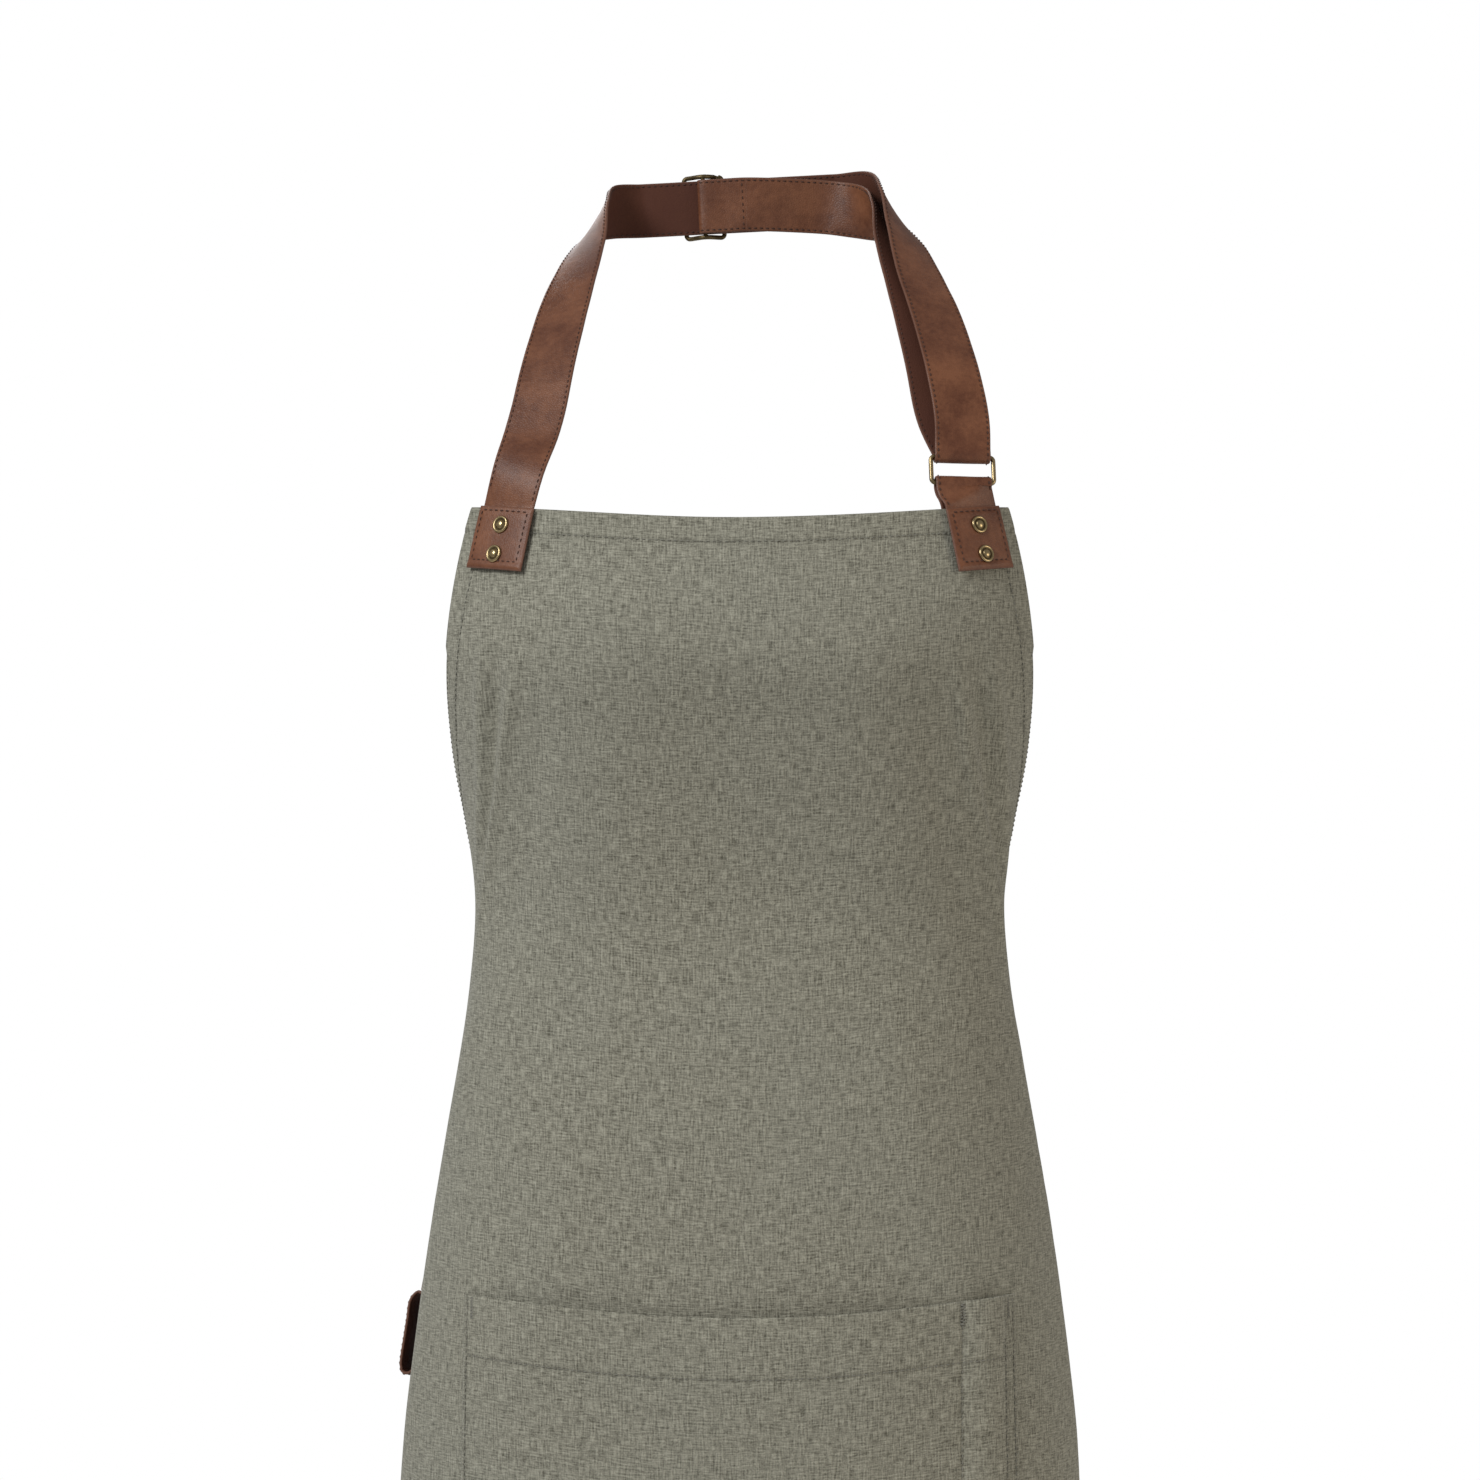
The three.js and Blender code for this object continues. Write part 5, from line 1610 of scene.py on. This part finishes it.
# %% The runs round the waist
def waist_run(name, side, node):
    """A tape that follows the body from behind the panel's edge to the knot, where it gathers."""
    ends = np.linspace(PANEL_HALF - TIE_LAP, 404, 100)
    tie_middle = ARMHOLE_DEPTH + TIE_DROP + TIE_WIDTH / 2
    down = np.full(100, tie_middle)
    at = on_cloth(side * ends, down, np.full(100, TIE_OFFSET))
    keep = np.abs(at[:, 0]) > 8
    at = at[keep]
    arc, down = side * ends[keep], down[keep]
    face = cloth_normal(arc, down)
    over = unit(on_cloth(arc, down + 1, np.full(len(arc), 0.0)) - on_cloth(arc, down, np.full(len(arc), 0.0)))
    gather = smooth(np.abs(at[:, 0]), 12, 52)
    wide = 19 + (TIE_WIDTH - 19) * gather
    sag = -2.2 * np.sin(np.pi * np.clip((np.abs(at[:, 0]) - 10) / 110, 0, 1))
    at = at + np.array([0, 0, 1.0]) * sag[:, None]
    shells = [tape(at, over, face, wide, ripple=2.0), *tape_rows(at, over, face, wide, 1)]
    thing = piece(name, shells, tapes, "apron", replaces=[node])
    length = np.linalg.norm(np.diff(at, axis=0), axis=1).sum()
    return length


def crossed_box(side):
    """A box of stitches with its two diagonals, through the panel and the tie behind it."""
    low_arc, high_arc = PANEL_HALF - TIE_LAP + 2.5, PANEL_HALF - HEM + 1
    low_down, high_down = ARMHOLE_DEPTH + TIE_DROP + 3, ARMHOLE_DEPTH + TIE_DROP + TIE_WIDTH - 3
    a, b, c, d = (low_arc, low_down), (high_arc, low_down), (high_arc, high_down), (low_arc, high_down)
    rows = []
    for p, q in ((a, b), (b, c), (c, d), (d, a), (a, c), (b, d)):
        t = np.linspace(0, 1, 16)
        rows.append(cloth_row(side * (p[0] + (q[0] - p[0]) * t), p[1] + (q[1] - p[1]) * t, FACE + 0.05))
    return rows


left_run = waist_run("left_waist_tape", -1, "left_waist_tie")
right_run = waist_run("right_waist_tape", 1, "right_waist_tie")
piece("tie_box_stitches", crossed_box(-1) + crossed_box(1), [cloth_thread], "apron")


# %% The bow's loops
def bow_loop(name, side, node):
    """A tape folded out and back: its line is a drooping lens in the XZ plane, pinched at the
    knot, and the tape's width lies across it."""
    low, high = box_mm(node)
    far = high[0] if side > 0 else low[0]
    turn = np.linspace(0.06, 0.94, 90) * 2 * np.pi
    out = (1 - np.cos(turn)) / 2
    reach = abs(far) - 12.0 - 2.5
    x = side * (11.0 + reach * out**0.9)
    fall = -16.0 * out**1.6
    lens = 6.0 * np.sin(turn) * (0.5 + out)
    y = knot_at[1] + 4.4 + 2.2 * np.sin(turn) * (1 - 0.3 * out)
    at = np.stack([x, y, knot_at[2] + fall + lens], -1)
    along = unit(np.gradient(at, axis=0))
    wide = 13.0 + 17.0 * smooth(out, 0.02, 0.55)
    slant = unit(np.stack([-side * 0.35 * np.sin(turn), 0.16 + 0 * out, np.ones(90)], -1))
    over = unit(slant - along * np.sum(slant * along, axis=1, keepdims=True))
    face = unit(np.cross(over, along))
    shells = [tape(at, over, face, wide, ripple=1.6), *tape_rows(at, over, face, wide, 1)]
    thing = piece(name, shells, tapes, "apron", replaces=[node])
    length = np.linalg.norm(np.diff(at, axis=0), axis=1).sum()
    return length


# %% The knot
def knot_shell():
    """A turn of gathered tape round the bow's middle: a rounded form whose pleats run up and down,
    radius * (1 + 0.07 sin(9 a + wander))."""
    v = np.linspace(-1, 1, 41)
    turn = np.linspace(0, 2 * np.pi, 72, endpoint=False)
    v, turn = np.meshgrid(v, turn, indexing="ij")
    swell = np.sqrt(np.clip(1.0001 - np.abs(v) ** 2.6, 0, 1))
    pleat = 1 + 0.055 * np.sin(7 * turn + 1.1 * np.sin(2.2 * v)) * swell
    pleat = pleat + 0.03 * np.sin(3 * turn + 2.5 * v + 1)
    x = (KNOT_WIDTH / 2 - 0.8) * np.cos(turn) * (0.45 + 0.55 * swell) * pleat
    y = (KNOT_DEPTH / 2 - 0.6) * np.sin(turn) * swell * pleat
    z = (KNOT_HEIGHT / 2 - 0.6) * v * (1 - 0.16 * np.cos(turn) ** 2)
    x = np.where(np.abs(v) > 0.999, x * 0.15, x)
    points = np.stack([x + 1.2 * v, y, z], -1) + knot_at
    uv = np.stack([turn * 9.0, v * KNOT_HEIGHT / 2], -1)
    faces = np.concatenate([quads(41, 72, False, True), end_caps(41, 72)])
    # Painted shade where the tape gathers at the knot's top and foot, carried by the fact named seam.
    return Shell(points, faces, uv=uv, seam=0.35 * (1 - swell.ravel()))


piece("bow_knot_cloth", [knot_shell()], [chambray], "apron", replaces=["bow_knot"])
left_bow = bow_loop("left_bow_tape", -1, "bow_loop_left")
right_bow = bow_loop("right_bow_tape", 1, "bow_loop_right")


# %% The tails
def tail(name, side, node, body):
    """A tape that hangs from the knot: a slow double wave, wider once it is clear of the knot."""
    low, high = box_mm(node)
    length = high[2] - low[2]
    middle = (low + high) / 2
    t = np.linspace(0, 1, 120)
    fallen = length * t
    free = smooth(fallen, 0, 70)
    x = middle[0] - side * 7.0 * (1 - free) + side * 1.6 * free * np.sin(fallen / 44.0)
    y = middle[1] + 2.4 * free * np.sin(fallen / 38.0 + side) + 1.2 * free * np.sin(fallen / 17.0)
    at = np.stack([x, y, high[2] - fallen], -1)
    along = unit(np.gradient(at, axis=0))
    twist = 0.18 * np.sin(fallen / 60.0 + side) * free
    over = unit(np.stack([np.cos(twist), np.sin(twist), np.zeros(120)], -1))
    over = unit(over - along * np.sum(over * along, axis=1, keepdims=True))
    face = unit(np.cross(over, along))
    face = face * np.sign(face[:, 1:2])
    wide = 17.0 + (TIE_WIDTH - 17.5) * smooth(fallen, 0, 65)
    shells = [tape(at, over, face, wide, ripple=1.5), *tape_rows(at, over, face, wide, 1)]
    for y_in in (2.5, 8.0):
        row = int(np.searchsorted(fallen, length - y_in))
        lay = np.linspace(-wide[row] / 2 + 2.5, wide[row] / 2 - 2.5, 16)
        line = at[row] + over[row] * lay[:, None] + face[row] * 0.5
        shells.append(stitches(line, np.tile(face[row], (16, 1)), radius=0.22, finish=1))
    thing = piece(name, shells, tapes, body, replaces=[node])
    return length


left_tail = tail("left_tail_tape", -1, "left_tie_tail", "left_tail")
right_tail = tail("right_tail_tape", 1, "right_tie_tail", "right_tail")
print("tie lengths in mm:", left_run + left_bow + left_tail, right_run + right_bow + right_tail)

# %% [markdown]

# %% [markdown]
# ## Floor
#
# The floor is a small pale disc just under the hem, so that the background stays plain.

# %% The floor
FLOOR_RADIUS = 1.3
floor_z = panel_low[2] * MM - 0.012
turn = np.linspace(0, 2 * np.pi, 96, endpoint=False)
rings = np.array([0.02, 0.3, 0.6, 0.9, 1.0, 1.0])
drop = np.array([0, 0, 0, 0, -0.002, -0.012])
disc = np.stack([rings[:, None] * np.cos(turn), rings[:, None] * np.sin(turn)], -1) * FLOOR_RADIUS
disc = np.concatenate([disc, np.broadcast_to((floor_z + drop)[:, None, None], (6, 96, 1))], -1)
mesh = bpy.data.meshes.new("floor")
mesh.from_pydata(disc.reshape(-1, 3), [], [*quads(6, 96, False, True).tolist(), list(range(95, -1, -1))])
floor = bpy.data.objects.new("floor", mesh)
paper, g, shader = start_material("pale_paper", 0.8)
shader["Base Color"].default_value = (0.82, 0.82, 0.81, 1)
mesh.materials.append(paper)
bpy.context.scene.collection.objects.link(floor)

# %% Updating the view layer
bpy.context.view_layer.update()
